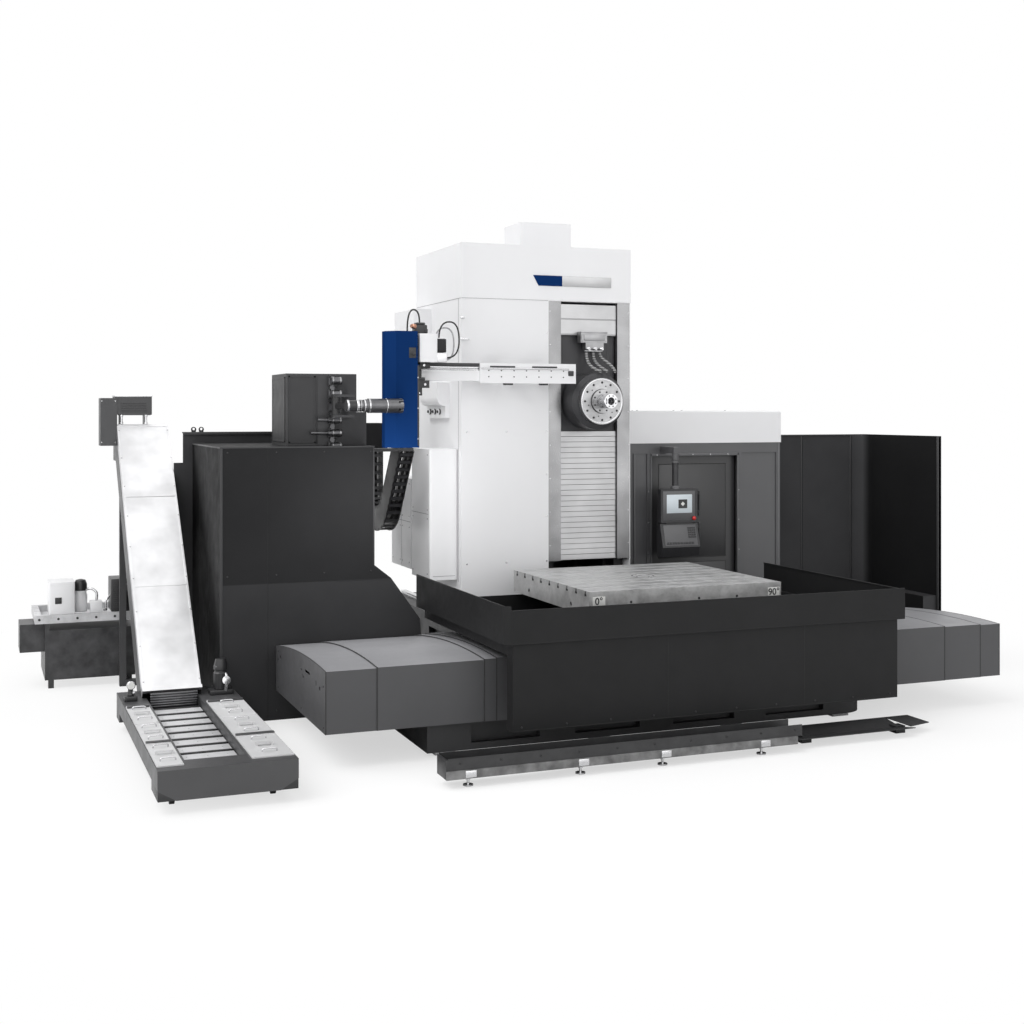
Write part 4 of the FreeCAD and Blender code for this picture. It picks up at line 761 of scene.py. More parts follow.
def make_nozzle_box():
    """Bright sheet box of the coolant nozzles with its flange, screws, taps and lever valves."""
    lo, hi = span("coolant_manifold")
    x0, x1, y0 = lo[0] + 0.0005, hi[0] - 0.0005, lo[1]
    front = [(hi[2] - 0.008, x0), (hi[2] - 0.008, x1), (hi[2] - 0.1, x1 - 0.012),
        (hi[2] - 0.1, x0 + 0.012)]
    shapes = [swept(front, 1, y0 - 0.006, 0.006),
        slab((x0, y0 - 0.012, hi[2] - 0.012), (x1, 0.014, hi[2] - 0.0005), 0.002),
        slab((x0 + 0.03, y0 - 0.014, hi[2] - 0.086), (x1 - 0.03, y0 - 0.004, hi[2] - 0.03), 0.003)]
    shapes += screws([(x, y0 - 0.006, z) for x in (x0 + 0.02, x1 - 0.02)
            for z in (hi[2] - 0.03, hi[2] - 0.085)], FRONT, 0.006, 0.003)
    piece("nozzle_box", shapes, "box_steel", "head")
    taps = []
    nut = [(0.02, 0), (0.024, 0.004), (0.024, 0.02), (0.02, 0.024)]
    for x in (0.61, 0.68, 0.745):
        taps.append(turned(nut, (x, -0.02, 3.148), UP, 6))
        taps.append(turned([(0.009, 0), (0.009, 0.03), (0.014, 0.032), (0.014, 0.05)],
                (x, -0.038, 3.165), (0, -1, 0.25), 12))
        taps.append(slab((x - 0.03, -0.092, 3.172), (x + 0.012, -0.084, 3.186), 0.002))
    taps.append(pipe([(0.585, -0.035, 3.16), (0.68, -0.045, 3.157), (0.765, -0.035, 3.16)], 0.009))
    piece("nozzle_taps", taps, "steel", "head")


# -------------------- tool changer
def make_changer():
    """Carriage of the changer: white drive house, ribbed motors, copper plug and dark brackets."""
    white = blocks((-1.178, -0.52, 3.015, -1.02, -0.362, 3.258, 0.006, 0.006, 4),
        (-1.176, -0.5225, 3.2, -1.022, -0.519, 3.2035, 0.001))
    piece("drive_house", white, "white", "changer", stands_for=("atc_carriage",))
    light = blocks((-1.02, -0.5, 3.015, -0.925, -0.4, 3.095, 0.006, 0.006, 4),
        (-1.02, -0.49, 3.215, -0.94, -0.4, 3.226, 0.004))
    light += screws([(-0.99, -0.5, 3.08), (-0.95, -0.5, 3.03)], FRONT, 0.005, 0.003)
    piece("drive_box", light, "cover", "changer")
    ribs = blocks(*((-1.018 + 0.011 * k, -0.502, 3.1, -1.012 + 0.011 * k, -0.398, 3.215, 0.002)
            for k in range(8)))
    motor = ribs + blocks((-1.02, -0.496, 3.104, -0.93, -0.404, 3.211, 0.008, 0.01, 4))
    motor += blocks((-1.2, -0.47, 3.258, -1.095, -0.366, 3.335, 0.008, 0.008, 4),
        (-1.19, -0.462, 3.334, -1.11, -0.374, 3.355, 0.008, 0.008, 4),
        (-1.118, -0.476, 3.262, -1.092, -0.44, 3.3, 0.004))
    piece("changer_motors", motor, "black", "changer", slot="pump_paint")
    plate = [slab((-1.29, -0.363, 2.77), (-1.112, -0.348, 3.24), 0.004),
        slab((-1.203, -0.44, 3.225), (-1.16, -0.362, 3.29), 0.004),
        slab((-1.15, -0.42, 2.96), (-1.05, -0.362, 3.016), 0.006),
        swept([(-0.42, 2.86), (-0.42, 2.73), (-0.362, 2.73), (-0.362, 2.86)], 0, -1.17, 0.045),
        swept([(-0.42, 2.86), (-0.42, 2.795), (-0.362, 2.795), (-0.362, 2.86)], 0, -1.126, 0.066),
        slab((-1.185, -0.43, 2.94), (-1.135, -0.36, 2.985), 0.006),
        slab((-1.16, -0.425, 2.86), (-1.1, -0.36, 2.885), 0.004)]
    piece("changer_brackets", plate, "black", "changer", slot="pump_paint")
    bright = screws([(-1.11, -0.42, 2.99), (-1.1, -0.42, 2.825)], FRONT, 0.012, 0.008)
    bright += screws([(-1.165, -0.43, 2.962), (-1.15, -0.42, 2.75)], FRONT, 0.008, 0.006)
    piece("bracket_screws", bright, "steel", "changer")
    copper = [turned([(0.017, 0), (0.022, 0.004), (0.022, 0.03), (0.016, 0.034), (0.016, 0.046)],
            (-1.196, -0.452, 3.318), (-1, -0.35, 0.1), 16)]
    piece("connector_copper", copper, "copper", "changer")
    knob = [turned([(0.02, 0), (0.024, 0.003), (0.024, 0.01), (0.015, 0.014), (0.015, 0.026)],
            (-1.245, -0.544, 3.09), FRONT, 20)]
    piece("hood_knob", knob, "plastic", "changer", slot="ground_steel")
    window = blocks((-1.281, -0.545, 3.046, -1.219, -0.54, 3.135, 0.0015))
    window += blocks((-1.205, -0.542, 2.3, -1.19, -0.538, 2.985, 0.001))
    piece("hood_window", window, "plastic", "changer")
    spots = [(-1.2, -0.54, z) for z in (2.36, 2.62, 2.88)]
    piece("hood_screws", screws(spots, FRONT, 0.006, 0.004), "steel", "changer")
    for k, (route, length) in enumerate(zip(CABLES, CABLE_LENGTHS)):
        hose("changer_cable_%d" % (k + 1), route, "atc_cables", "changer", CABLE_RADIUS,
            "rubber" if k != 1 else "light_cable")


# -------------------- tools and magazine
ARM_PIVOT = -1.79, -0.07


def make_tools():
    """Grooved flange, collar, inserts and clamp screws of the tool that waits on the arm."""
    lo, hi = span("staged_tool")
    y, z = (lo[1] + hi[1]) / 2, (lo[2] + hi[2]) / 2
    x = hi[0]
    inserts, clamps = [], []
    for a in np.arange(6) * PI2 / 6 + 0.06:
        out = np.array([0, -math.sin(a), math.cos(a)])
        side = np.array([0, -math.cos(a), -math.sin(a)])
        c = np.array([x - 0.014, y, z]) + 0.05 * out + 0.004 * side
        verts, faces = slab((-0.012, -0.004, -0.011), (0.014, 0.004, 0.0125), 0.002, 0.003, 3, 1)
        inserts.append((c + verts[:, :1] * RIGHT + verts[:, 1:2] * side + verts[:, 2:] * out,
                faces))
        clamps += screws([c + 0.0045 * side], side, 0.0045, 0.003)
    piece("tool_inserts", inserts, "nose", "tool_arm")
    piece("insert_screws", clamps, "steel", "tool_arm")
    start = -1.73
    rings = [turned([(0.047, 0), (0.0508, 0.002), (0.0508, 0.006), (0.044, 0.0075)],
            (start, y, z), RIGHT, 40),
        turned([(0.043, 0), (0.0505, 0.004), (0.052, 0.006), (0.052, 0.014), (0.048, 0.018)],
            (start + 0.03, y, z), RIGHT, 40),
        turned([(0.05, 0), (0.0612, 0.004), (0.0612, 0.016), (0.058, 0.02)],
            (start + 0.068, y, z), RIGHT, 40),
        collar(0.06, 0.0625, 0.002, 0.01, (x - 0.142, y, z), RIGHT, 40)]
    piece("tool_collars", rings, "steel", "tool_arm", sharp=30)
    face = screws(ring(5, 0.028, (0, 0, 0), 0.3)[:, [1, 0, 2]] + np.array([x, y, z]), RIGHT,
        0.006, 0.003)
    piece("tool_face_screws", face, "black", "tool_arm")
    arm_lo, arm_hi = span("transfer_arm")
    claw = [collar(0.047, 0.05, 0.004, 0.024, (arm_hi[0] - 0.03, y, z), RIGHT, 40),
        turned([(0.047, 0), (0.05, 0.004), (0.05, 0.014), (0.047, 0.018)],
            (arm_lo[0] + 0.008, y, z), RIGHT, 40),
        collar(0.03, 0.036, 0.004, 0.016, (*ARM_PIVOT, arm_hi[2]), UP, 6)]
    piece("arm_rings", claw, "steel", "tool_arm", sharp=30)


def make_chain():
    """Rings, rollers and link pins on the visible run of the tool chain."""
    x, y, pitch = ARM_PIVOT[0], 0.042, 0.114
    first = 2.632 - 3 * pitch
    bright, dark = [], []
    for k in range(6):
        z = first + pitch * k
        bright.append(collar(0.03, 0.0345, 0.003, 0.015, (x + 0.052, y, z), RIGHT, 24))
        bright.append(turned([(0.028, 0), (0.0335, 0.003), (0.0335, 0.01), (0.026, 0.014)],
                (x - 0.012, y, z), RIGHT, 24))
        dark += screws([(x + d, y + 0.012, z + s) for d in (-0.026, 0.026)
                for s in (-0.038, 0.038)], FRONT, 0.009, 0.01)
    piece("chain_rings", bright, "nose", "base", sharp=30)
    piece("chain_pins", dark, "black", "base", sharp=30)


def make_magazine():
    """Door panel, rims, seams and screws of the magazine's and loading box's sheet housings."""
    lo, hi = span("loading_box")
    y = 0.1
    door = folded((-2.175, y - 0.003, lo[2] + 0.02), (-1.935, y, hi[2] - 0.02), 1, 0.014, 0.004)
    door += blocks((-1.93, y - 0.005, lo[2] + 0.01, -1.918, y, hi[2] - 0.012, 0.002))
    door += folded((-2.197, 0.14, lo[2] + 0.03), (-2.194, 0.66, hi[2] - 0.03), 0, 0.014, 0.003)
    piece("loading_door", door, "dark", "base")
    m_lo, m_hi = span("magazine_housing")
    front, left, right = -0.225, m_lo[0], -1.495
    rim = blocks((left - 0.002, front - 0.004, 2.284, right + 0.002, front, 2.2965, 0.0015),
        (left - 0.004, front, 2.284, left, m_hi[1], 2.2965, 0.0015),
        (left - 0.003, front - 0.003, 0.02, left + 0.02, front, 2.285, 0.0015),
        (right - 0.012, front - 0.003, 1.27, right + 0.001, front, 2.285, 0.0015))
    piece("magazine_rims", rim, "dark", "base")
    lines = seams((left - SEAM, 0.35, 0.05, left, 0.356, 2.28),
        (left - SEAM, 0.85, 0.05, left, 0.856, 2.28),
        (-2.417, front - SEAM, 1.146, -1.36, front, 1.15),
        (-2.421, front - SEAM, 0.03, -2.417, front, 2.28))
    piece("magazine_seams", lines, "seam_dark", "base", sharp=0)
    spots = [(x, front, z) for x in np.arange(left + 0.06, right, 0.41) for z in (1.22, 2.25)]
    spots += [(x, front, 0.08) for x in np.arange(left + 0.06, -1.2, 0.41)]
    piece("magazine_screws", screws(spots, FRONT, 0.007, 0.004), "black", "base",
        slot="black_cast")


LOOP_C, LOOP_R, LOOP_TURN, LOOP_TOP = (0.843, 1.91), 0.33, math.radians(144.2), 2.21
LOOP_X0, LOOP_X1, LOOP_HALF, LOOP_LENGTH = -1.18, -1.044, 0.115, 1.849
LINK_WALL, LINKS = 0.012, 22


def loop_points(t):
    """Middle line of the cable loop, t metres from its rear end: straight down, round an arc and
    up to the front; gives places (Y, Z) and outward normals."""
    drop, arc = LOOP_TOP - LOOP_C[1], LOOP_R * LOOP_TURN
    a = -np.clip(t - drop, 0.0, arc) / LOOP_R
    ny, nz = np.cos(a), np.sin(a)
    before, after = np.maximum(drop - t, 0.0), np.maximum(t - drop - arc, 0.0)
    y = LOOP_C[0] + LOOP_R * ny + after * nz
    z = LOOP_C[1] + LOOP_R * nz + before - after * ny
    return np.stack([y, z], 1), np.stack([ny, nz], 1)


def make_carrier():
    """Hanging loop of the cable carrier: link plates on both sides, cross bars and its cables."""
    t = np.linspace(0, LOOP_LENGTH, 49)
    mid, out = loop_points(t)
    sides = []
    for x in (LOOP_X0, LOOP_X1 - LINK_WALL):
        edges = [mid + LOOP_HALF * out, mid - LOOP_HALF * out]
        corners = np.stack(edges + edges[::-1], 1)
        xs = np.array([x, x, x + LINK_WALL, x + LINK_WALL])
        xs = np.broadcast_to(xs[None, :, None], (len(t), 4, 1))
        verts = np.concatenate([xs, corners], 2).reshape(-1, 3)
        sides.append((verts, capped(len(t), 4)))
    piece("carrier_plates", sides, "black", "base", sharp=0, slot="black_cast",
        stands_for=("cable_carrier",))
    mid, out = loop_points((np.arange(LINKS) + 0.5) * LOOP_LENGTH / LINKS)
    bars = []
    for (y, z), (ny, nz) in zip(mid, out):
        for m in (LOOP_HALF - 0.013, 0.013 - LOOP_HALF):
            corners = [(y + (m + b) * ny - c * nz, z + (m + b) * nz + c * ny)
                for b, c in ((0.007, 0.015), (0.007, -0.015), (-0.007, -0.015), (-0.007, 0.015))]
            bars.append(swept(corners, 0, LOOP_X0 - 0.002, LOOP_X1 - LOOP_X0 + 0.004))
    piece("carrier_bars", bars, "plastic", "base", sharp=0)
    cables = []
    for x, off in ((-1.145, 0.04), (-1.11, -0.02), (-1.078, 0.03)):
        mid, out = loop_points(np.linspace(0.0, LOOP_LENGTH, 14))
        line = mid + off * out
        cables.append(pipe(np.column_stack([np.full(14, x), line]), 0.014, 8, 3))
    piece("carrier_cables", cables, "rubber", "base", sharp=180)
    bracket = blocks((-1.5, 0.08, 2.235, LOOP_X1, 0.26, 2.262, 0.002))
    piece("carrier_bracket", bracket, "dark", "base", sharp=0)


def make_walls():
    """Ribs, cap rails and seam covers of the standing walls on both sides."""
    lo, hi = span("standing_walls")
    rear_y, right_y, wall_top, x1 = 1.32, 0.72, 2.3445, hi[0]
    shapes = blocks((-2.9, rear_y - 0.016, 2.372, -1.64, rear_y, 2.4, 0.003),
        (-2.78, rear_y - 0.03, 0.3, -2.7, rear_y, 2.3, 0.004),
        (-2.72, rear_y - 0.05, 2.22, -2.45, rear_y, 2.28, 0.004))
    shapes += blocks(*((x - 0.02, right_y - 0.006, 0.06, x - 0.002, right_y, 2.34, 0.002)
            for x in (3.465, 4.085)))
    shapes += blocks((2.976, right_y - 0.012, 2.33, x1 - 0.19, right_y, wall_top, 0.002),
        (x1 - 0.036, lo[1], 0.0, x1 - 0.0005, lo[1] + 0.03, wall_top, 0.002))
    piece("wall_ribs", shapes, "dark", "base")
    spots = [(x, right_y, z) for x in (3.1, 3.44, 3.5, 4.05) for z in (0.4, 1.2, 2.0, 2.28)]
    piece("wall_screws", screws(spots, FRONT, 0.007, 0.004), "black", "base", slot="black_cast")


# -------------------- operator cabin
def make_cabin():
    """Door panes with their gaskets, trim and roof screws of the operator cabin."""
    y = span("cabin_door")[0][1]
    frames = []
    a, b = 1.6, 2.365
    for c, d in ((1.13, 2.07), (0.2, 1.09)):
        frames += blocks((a, y - 0.003, c, b, y, c + 0.008, 0.001),
            (a, y - 0.003, d - 0.008, b, y, d, 0.001), (a, y - 0.003, c, a + 0.008, y, d, 0.001),
            (b - 0.008, y - 0.003, c, b, y, d, 0.001))
    piece("door_gaskets", frames, "rubber", "door")
    # The panes are opaque and dark: painted shade of the cabin's inside behind the door's windows.
    pane = blocks((1.607, y - 0.002, 1.137, 2.358, y, 2.063, 0.001),
        (1.607, y - 0.002, 0.207, 2.358, y, 1.083, 0.001))
    piece("door_panes", pane, "door", "door")
    front = 0.37
    rails = []
    for x in (1.492, 2.473):
        rails += blocks((x - 0.012, front - 0.01, 0.14, x + 0.004, front, 2.177, 0.003))
    rails += blocks((1.48, front - 0.01, 2.15, 2.477, front, 2.177, 0.003),
        (1.2, front - 0.006, 0.14, 1.216, front, 2.177, 0.002),
        (1.3, front - 0.006, 0.14, 1.312, front, 2.177, 0.002),
        (2.94, front - 0.004, 0.1, 2.962, front, 2.27, 0.002))
    piece("cabin_trim", rails, "trim", "base", slot="grey_cover_paint")
    spots = [(x, front - 0.01, 2.163) for x in np.arange(1.55, 2.45, 0.2)]
    spots += [(2.481, front, z) for z in np.arange(0.3, 2.1, 0.3)]
    spots += [(1.46, front, z) for z in np.arange(0.3, 2.1, 0.3)]
    piece("cabin_screws", screws(spots, FRONT, 0.006, 0.004), "steel", "base")
    _, r_hi = span("cabin_roof")
    roof = [(x, y_, r_hi[2]) for x in np.arange(1.4, 2.9, 0.5) for y_ in (0.5, 1.6)]
    piece("roof_screws", screws(roof, UP, 0.01, 0.006), "steel", "base")


def make_pendant():
    """Screen, keys, bezel, bent handles and collar of the hanging control station."""
    lo, hi = span("control_pendant")
    handle_width = 0.041
    x0, x1 = lo[0], hi[0] - handle_width
    px = x0 + 0.176
    back = hi[1]
    y = back - 0.084
    piece("screen_bezel",
        blocks((x0 + 0.022, y - 0.0015, 1.539, x1 - 0.038, y + 0.001, 1.821, 0.001)), "trim",
        "pendant")
    piece("pendant_screen",
        blocks((x0 + 0.061, y - 0.0035, 1.608, x1 - 0.069, y - 0.001, 1.787, 0.001)), "screen",
        "pendant")
    piece("screen_picture",
        blocks((x0 + 0.187, y - 0.0045, 1.653, x0 + 0.283, y - 0.003, 1.739, 0.0005)), "black",
        "pendant", sharp=0, slot="black_plastic")
    mark = [(1.696 + 0.022 * math.cos(a), x0 + 0.235 + 0.022 * math.sin(a))
        for a in np.arange(4) * PI2 / 4]
    piece("screen_mark", [swept(mark, 1, y - 0.005, 0.001)], "label", "pendant", sharp=0,
        slot="black_plastic")
    slope0, slope1 = np.array([0, back - 0.123, 1.28]), np.array([0, back - 0.062, 1.507])
    up = (slope1 - slope0) / np.linalg.norm(slope1 - slope0)
    out = np.array([0.0, -up[2], up[1]])

    def on_slope(a, b, s0, s1, thick):
        """Block on the sloped face between two places along its length."""
        verts, faces = slab((a, s0, -0.001), (b, s1, thick), 0.0012, 0.002)
        return slope0 + verts[:, :1] * RIGHT + verts[:, 1:2] * up + verts[:, 2:] * out, faces
    plate = [on_slope(x0 + 0.03, x1 - 0.022, 0.015, 0.22, 0.003)]
    piece("key_plate", plate, "trim", "pendant", slot="stainless_sheet")
    keys = [on_slope(x1 - 0.115 + 0.022 * i, x1 - 0.099 + 0.022 * i, 0.09 + 0.022 * j,
            0.106 + 0.022 * j, 0.008) for i in range(4) for j in range(5)]
    keys += [on_slope(x0 + 0.05 + 0.03 * i, x0 + 0.07 + 0.03 * i, 0.03, 0.05, 0.009)
        for i in range(10)]
    piece("pendant_keys", keys, "plastic", "pendant")
    grips = []
    hx = x1 + 0.031
    for z0, z1 in ((1.614, 1.821), (1.25, 1.518)):
        grips.append(pipe([(x1, y + 0.04, z0 + 0.01), (hx - 0.008, y + 0.038, z0 + 0.008),
                    (hx, y + 0.034, z0 + 0.03), (hx, y + 0.034, z1 - 0.03),
                    (hx - 0.008, y + 0.038, z1 - 0.008), (x1, y + 0.04, z1 - 0.01)], 0.0095))
    piece("pendant_grips", grips, "plastic", "pendant", sharp=50)
    cuffs = [turned([(0.032, 0), (0.048, 0.004), (0.048, 0.02), (0.034, 0.036)],
            (px, back - 0.042, 1.836), UP, 32),
        turned([(0.031, 0), (0.036, 0.003), (0.036, 0.02), (0.031, 0.024)],
            (px, back - 0.042, 2.09), UP, 32)]
    piece("pendant_collars", cuffs, "trim", "pendant")
    s_lo, s_hi = span("stop_button")
    cx, cz = (s_lo[0] + s_hi[0]) / 2, (s_lo[2] + s_hi[2]) / 2
    cap = turned([(0.012, 0), (0.0195, 0.001), (0.0198, 0.01), (0.017, 0.015), (0.01, 0.0178)],
        (cx, s_lo[1] + 0.018, cz), FRONT, 32)
    piece("stop_cap", [cap], "red", "stop", sharp=60, stands_for=("stop_button",))


# -------------------- table, covers and tray
def label(name, text, x, y, z, height, body):
    """Plain black sign of a turn angle, as flat letters on the plate behind it."""
    data = bpy.data.curves.new(name, "FONT")
    data.body = text
    data.size = height
    data.extrude = 0.0004
    data.offset = 0.0012
    data.align_x = "CENTER"
    data.align_y = "CENTER"
    flat = linked(name + "_flat", data)
    bpy.context.view_layer.update()
    mesh = bpy.data.meshes.new_from_object(flat)
    bpy.data.objects.remove(flat)
    co = np.zeros(len(mesh.vertices) * 3)
    mesh.vertices.foreach_get("co", co)
    co = co.reshape(-1, 3)
    placed = np.stack([x + co[:, 0], y - co[:, 2], z + co[:, 1]], 1)
    mesh.vertices.foreach_set("co", placed.ravel())
    mesh.update()
    obj = linked(name, mesh)
    mesh.materials.clear()
    mesh.materials.append(FINISH["black"])
    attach(obj, body)


def make_table():
    """Angle plates, centre ring, lifting plugs and painted highlights along the slot edges of the
    rotary table.
    """
    lo, hi = span("rotary_table")
    front, cx, cy = lo[1], (lo[0] + hi[0]) / 2, (lo[1] + hi[1]) / 2
    for name, text, x in (("zero", "0°", lo[0] + 0.08), ("ninety", "90°", hi[0] - 0.07)):
        plate = slab((x - 0.055, front - 0.002, 1.063), (x + 0.055, front, 1.145), 0.0008, 0.003,
            3, 1)
        piece("sign_%s_plate" % name, [plate], "label", "table")
        label("sign_%s" % name, text, x, front - 0.0026, 1.106, 0.078, "table")
    rim = hoop([(0.086, 0), (0.088, 0.0015), (0.097, 0.0015), (0.099, 0)], (cx, cy, hi[2]), UP, 64)
    piece("table_centre_ring", [rim], "steel", "table")
    dots = [(cx + 0.07 * math.cos(a), cy + 0.07 * math.sin(a), hi[2])
        for a in np.arange(4) * PI2 / 4 + 0.4]
    piece("table_ring_screws", screws(dots, UP, 0.009, 0.002), "black", "table")
    slot_pitch = 0.18
    rows = cy + (np.arange(9) - 4) * slot_pitch
    worn, dark = [], []
    for y in rows:
        # Bright strips along both edges of every slot: painted highlights of the slot edges.
        for s in (-1, 1):
            edge = y + s * 0.0145
            worn.append(slab((lo[0] + 0.002, edge - 0.0035, hi[2] - 0.001),
                    (hi[0] - 0.002, edge + 0.0035, hi[2] + 0.0006), 0.0004))
        dark.append(slab((lo[0] + 0.003, y - 0.0105, hi[2] - 0.026),
                (lo[0] + 0.006, y + 0.0105, hi[2] - 0.004), 0.0004))
        dark.append(slab((lo[0] + 0.003, y - 0.0195, hi[2] - 0.0435),
                (lo[0] + 0.006, y + 0.0195, hi[2] - 0.0265), 0.0004))
    piece("slot_worn_edges", worn, "belt", "table", sharp=0)
    piece("slot_shadows", dark, "seam_dark", "table", sharp=0, slot="ground_steel")
    plugs = [(x, front, 1.09) for x in (lo[0] + 0.36, cx + 0.1, hi[0] - 0.42)]
    side = screws(plugs, FRONT, 0.011, 0.002)
    side += screws([(lo[0], y, 1.045) for y in (lo[1] + 0.35, hi[1] - 0.35)], LEFT, 0.011, 0.002)
    piece("table_plugs", side, "black", "table")


def cover_band(x, width, y0, y1, front_z, mid_z, back_z, low_z, grow):
    """Strip that wraps a way cover: the profile's front line and crowned top, grown outwards."""
    t = np.linspace(0, 1, 15)
    ym = 0.6 * y0 + 0.4 * y1
    quad = np.polyfit([y0, ym, y1], [front_z, mid_z, back_z], 2)
    y = y0 + (y1 - y0) * t
    line = np.vstack([[[y0, low_z]], np.stack([y, np.polyval(quad, y)], 1)])
    step = np.gradient(line, axis=0)
    normal = np.stack([-step[:, 1], step[:, 0]], 1)
    normal /= np.linalg.norm(normal, axis=1)[:, None]
    outer = line + grow * normal
    outer[0] = line[0] + (-grow, 0)
    outline = np.vstack([line + 0.0005 * (line - outer), outer[::-1]])
    return swept(outline, 0, x, width)


LEFT_END, RIGHT_END = -2.356, 3.735
COVERS = (("way_cover_left_1", "base", LEFT_END, 1),
    ("way_cover_left_2", "cover_left_2", -1.973, 1),
    ("way_cover_left_3", "cover_left_3", -1.14, 1), ("way_cover_left_4", "x_carriage", -1.045, 1),
    ("way_cover_right_1", "base", RIGHT_END, -1),
    ("way_cover_right_2", "cover_right_2", 3.519, -1),
    ("way_cover_right_3", "cover_right_3", 3.129, -1),
    ("way_cover_right_4", "x_carriage", 2.295, -1))


def make_covers():
    """Wiper lips at the outer ends of the telescopic covers, and fittings of the end plates."""
    for node, body, x, side in COVERS:
        lo, hi = span(node)
        inset = lo[1] + 1.99
        tops = [z - inset for z in (0.735, 0.745, 0.652)]
        a = x if side > 0 else x - 0.008
        lip = cover_band(a, 0.008, lo[1], hi[1], *tops, 0.26, 0.0012)
        piece(node + "_lip", [lip], "rubber", body, sharp=0)
    ends = []
    for x, side in ((LEFT_END, -1), (RIGHT_END, 1)):
        for y, z, w, h in ((-0.335, 0.532, 0.05, 0.01), (-1.257, 0.557, 0.06, 0.02),
                (-1.683, 0.582, 0.015, 0.035)):
            a, b = sorted((x, x + side * 0.0025))
            ends.append(slab((a, y - w / 2, z - h / 2), (b, y + w / 2, z + h / 2), 0.001))
    spots = [(LEFT_END, y, z) for y in (-1.92, -1.2, -0.35) for z in (0.3, 0.6)]
    ends += screws(spots, LEFT, 0.007, 0.004)
    piece("cover_end_fittings", ends, "plastic", "base")


def make_tray():
    """Hems on the tray's lips, seams in its apron and screws under the lip."""
    lo, hi = span("splash_tray")
    x0, x1, y0, y1 = lo[0], hi[0], lo[1], hi[1]
    c = 0.045
    hems = blocks((x0 - 0.0005, y0 + c, 1.17, x0 + 0.012, y1, 1.1802, 0.002),
        (x0 + c, y0 - 0.0005, 1.139, x1, y0 + 0.012, 1.1502, 0.002),
        (x1 - 0.012, y0, 1.129, x1 + 0.0005, y1, 1.1402, 0.002),
        (x0 + c, y0 - 0.0005, 0.8985, x1, y0 + 0.01, 0.909, 0.002))
    piece("tray_hems", hems, "tray", "x_carriage")
    apron = y0 + 0.036
    lines = seams(*((x, apron - SEAM, 0.27, x + 0.004, apron, 0.895) for x in (0.2, 1.42)))
    lines += seams((-1.05, apron - SEAM, 0.262, 2.3, apron, 0.266))
    piece("tray_seams", lines, "seam_dark", "x_carriage", sharp=0)
    spots = [(x, apron, 0.29) for x in np.arange(-1.0, 2.3, 0.36)]
    piece("tray_screws", screws(spots, FRONT, 0.008, 0.005), "black", "x_carriage",
        slot="black_cast")


# -------------------- conveyor, tank and units
FOOT, HEAD = np.array([-0.33, 0.33]), np.array([1.75, 2.468])
ALONG = (HEAD - FOOT) / np.linalg.norm(HEAD - FOOT)
SQUARE = np.array([-ALONG[1], ALONG[0]])


def inclined(x0, x1, s0, s1, n0, n1, edge=0.001):
    """Block in the conveyor's own axes: s up the incline, n out of the cover."""
    verts, faces = slab((x0, s0, n0), (x1, s1, n1), edge, 0.001, 2)
    yz = FOOT + verts[:, 1:2] * ALONG + verts[:, 2:] * SQUARE
    return np.column_stack([verts[:, 0], yz]), faces


def incline_screws(x, count, n):
    """Rivets evenly spaced up the incline at x."""
    length = np.linalg.norm(HEAD - FOOT)
    s = np.linspace(0.1, length - 0.08, count)
    yz = FOOT + s[:, None] * ALONG + n * SQUARE
    return np.column_stack([np.full(count, x), yz])


def make_conveyor():
    """Edge flanges, seam straps and rivets of the conveyor's covers, its mouth and its drive."""
    x0, x1 = -3.45, -2.985
    length = float(np.linalg.norm(HEAD - FOOT))
    strips = [inclined(x0 - 0.003, x0 + 0.022, 0.0, length, 0.0, 0.003),
        inclined(x1 - 0.014, x1 + 0.003, 0.0, length, 0.0, 0.003),
        inclined(x0 - 0.003, x0 - 0.0005, 0.0, length, -0.07, 0.003),
        inclined(x0, x1, length - 0.03, length, 0.0, 0.004)]
    for s in (0.36, 0.7):
        strips.append(
            inclined(x0 + 0.02, x1 - 0.012, s * length - 0.012, s * length + 0.012, 0, 0.004))
    piece("conveyor_flanges", strips, "cover", "base")
    out = 0, SQUARE[0], SQUARE[1]
    rivets = screws(incline_screws(x0 + 0.012, 9, 0.003), out, 0.006, 0.004)
    rivets += screws(incline_screws(x1 - 0.007, 9, 0.003), out, 0.006, 0.004)
    piece("conveyor_rivets", rivets, "steel", "base")
    drive = blocks((x0 - 0.02, 1.738, 2.56, x0 + 0.32, 1.742, 2.736, 0.001, 0.002, 2, 1),
        (x0 - 0.152, 1.732, 2.276, x0 - 0.004, 1.736, 2.71, 0.001, 0.002, 2, 1))
    drive += blocks((x0 + 0.316, 1.74, 2.56, x0 + 0.32, 1.95, 2.736, 0.001))
    piece("drive_guard", drive, "tank", "base")
    vents = blocks(*((x0 + 0.03, 1.7355, 2.585 + 0.016 * k, x0 + 0.27, 1.739,
                2.59 + 0.016 * k, 0.001) for k in range(6)))
    piece("drive_vents", vents, "black", "base", sharp=0, slot="black_cast")
    bright = blocks((x0 - 0.024, 1.734, 2.73, x0 + 0.324, 1.99, 2.7455, 0.003))
    for x in (x0 + 0.042, x0 + 0.267):
        bright.append(turned([(0.012, 0), (0.016, 0.004), (0.016, 0.02), (0.011, 0.024),
                    (0.011, 0.07), (0.016, 0.074), (0.016, 0.09)], (x, 1.752, 2.47), UP, 16))
    piece("drive_top", bright, "cover", "base")
    spots = [(x0 + x, 1.732, z) for x in (-0.14, -0.016) for z in (2.3, 2.69)]
    piece("drive_screws", screws(spots, FRONT, 0.006, 0.004), "steel", "base")


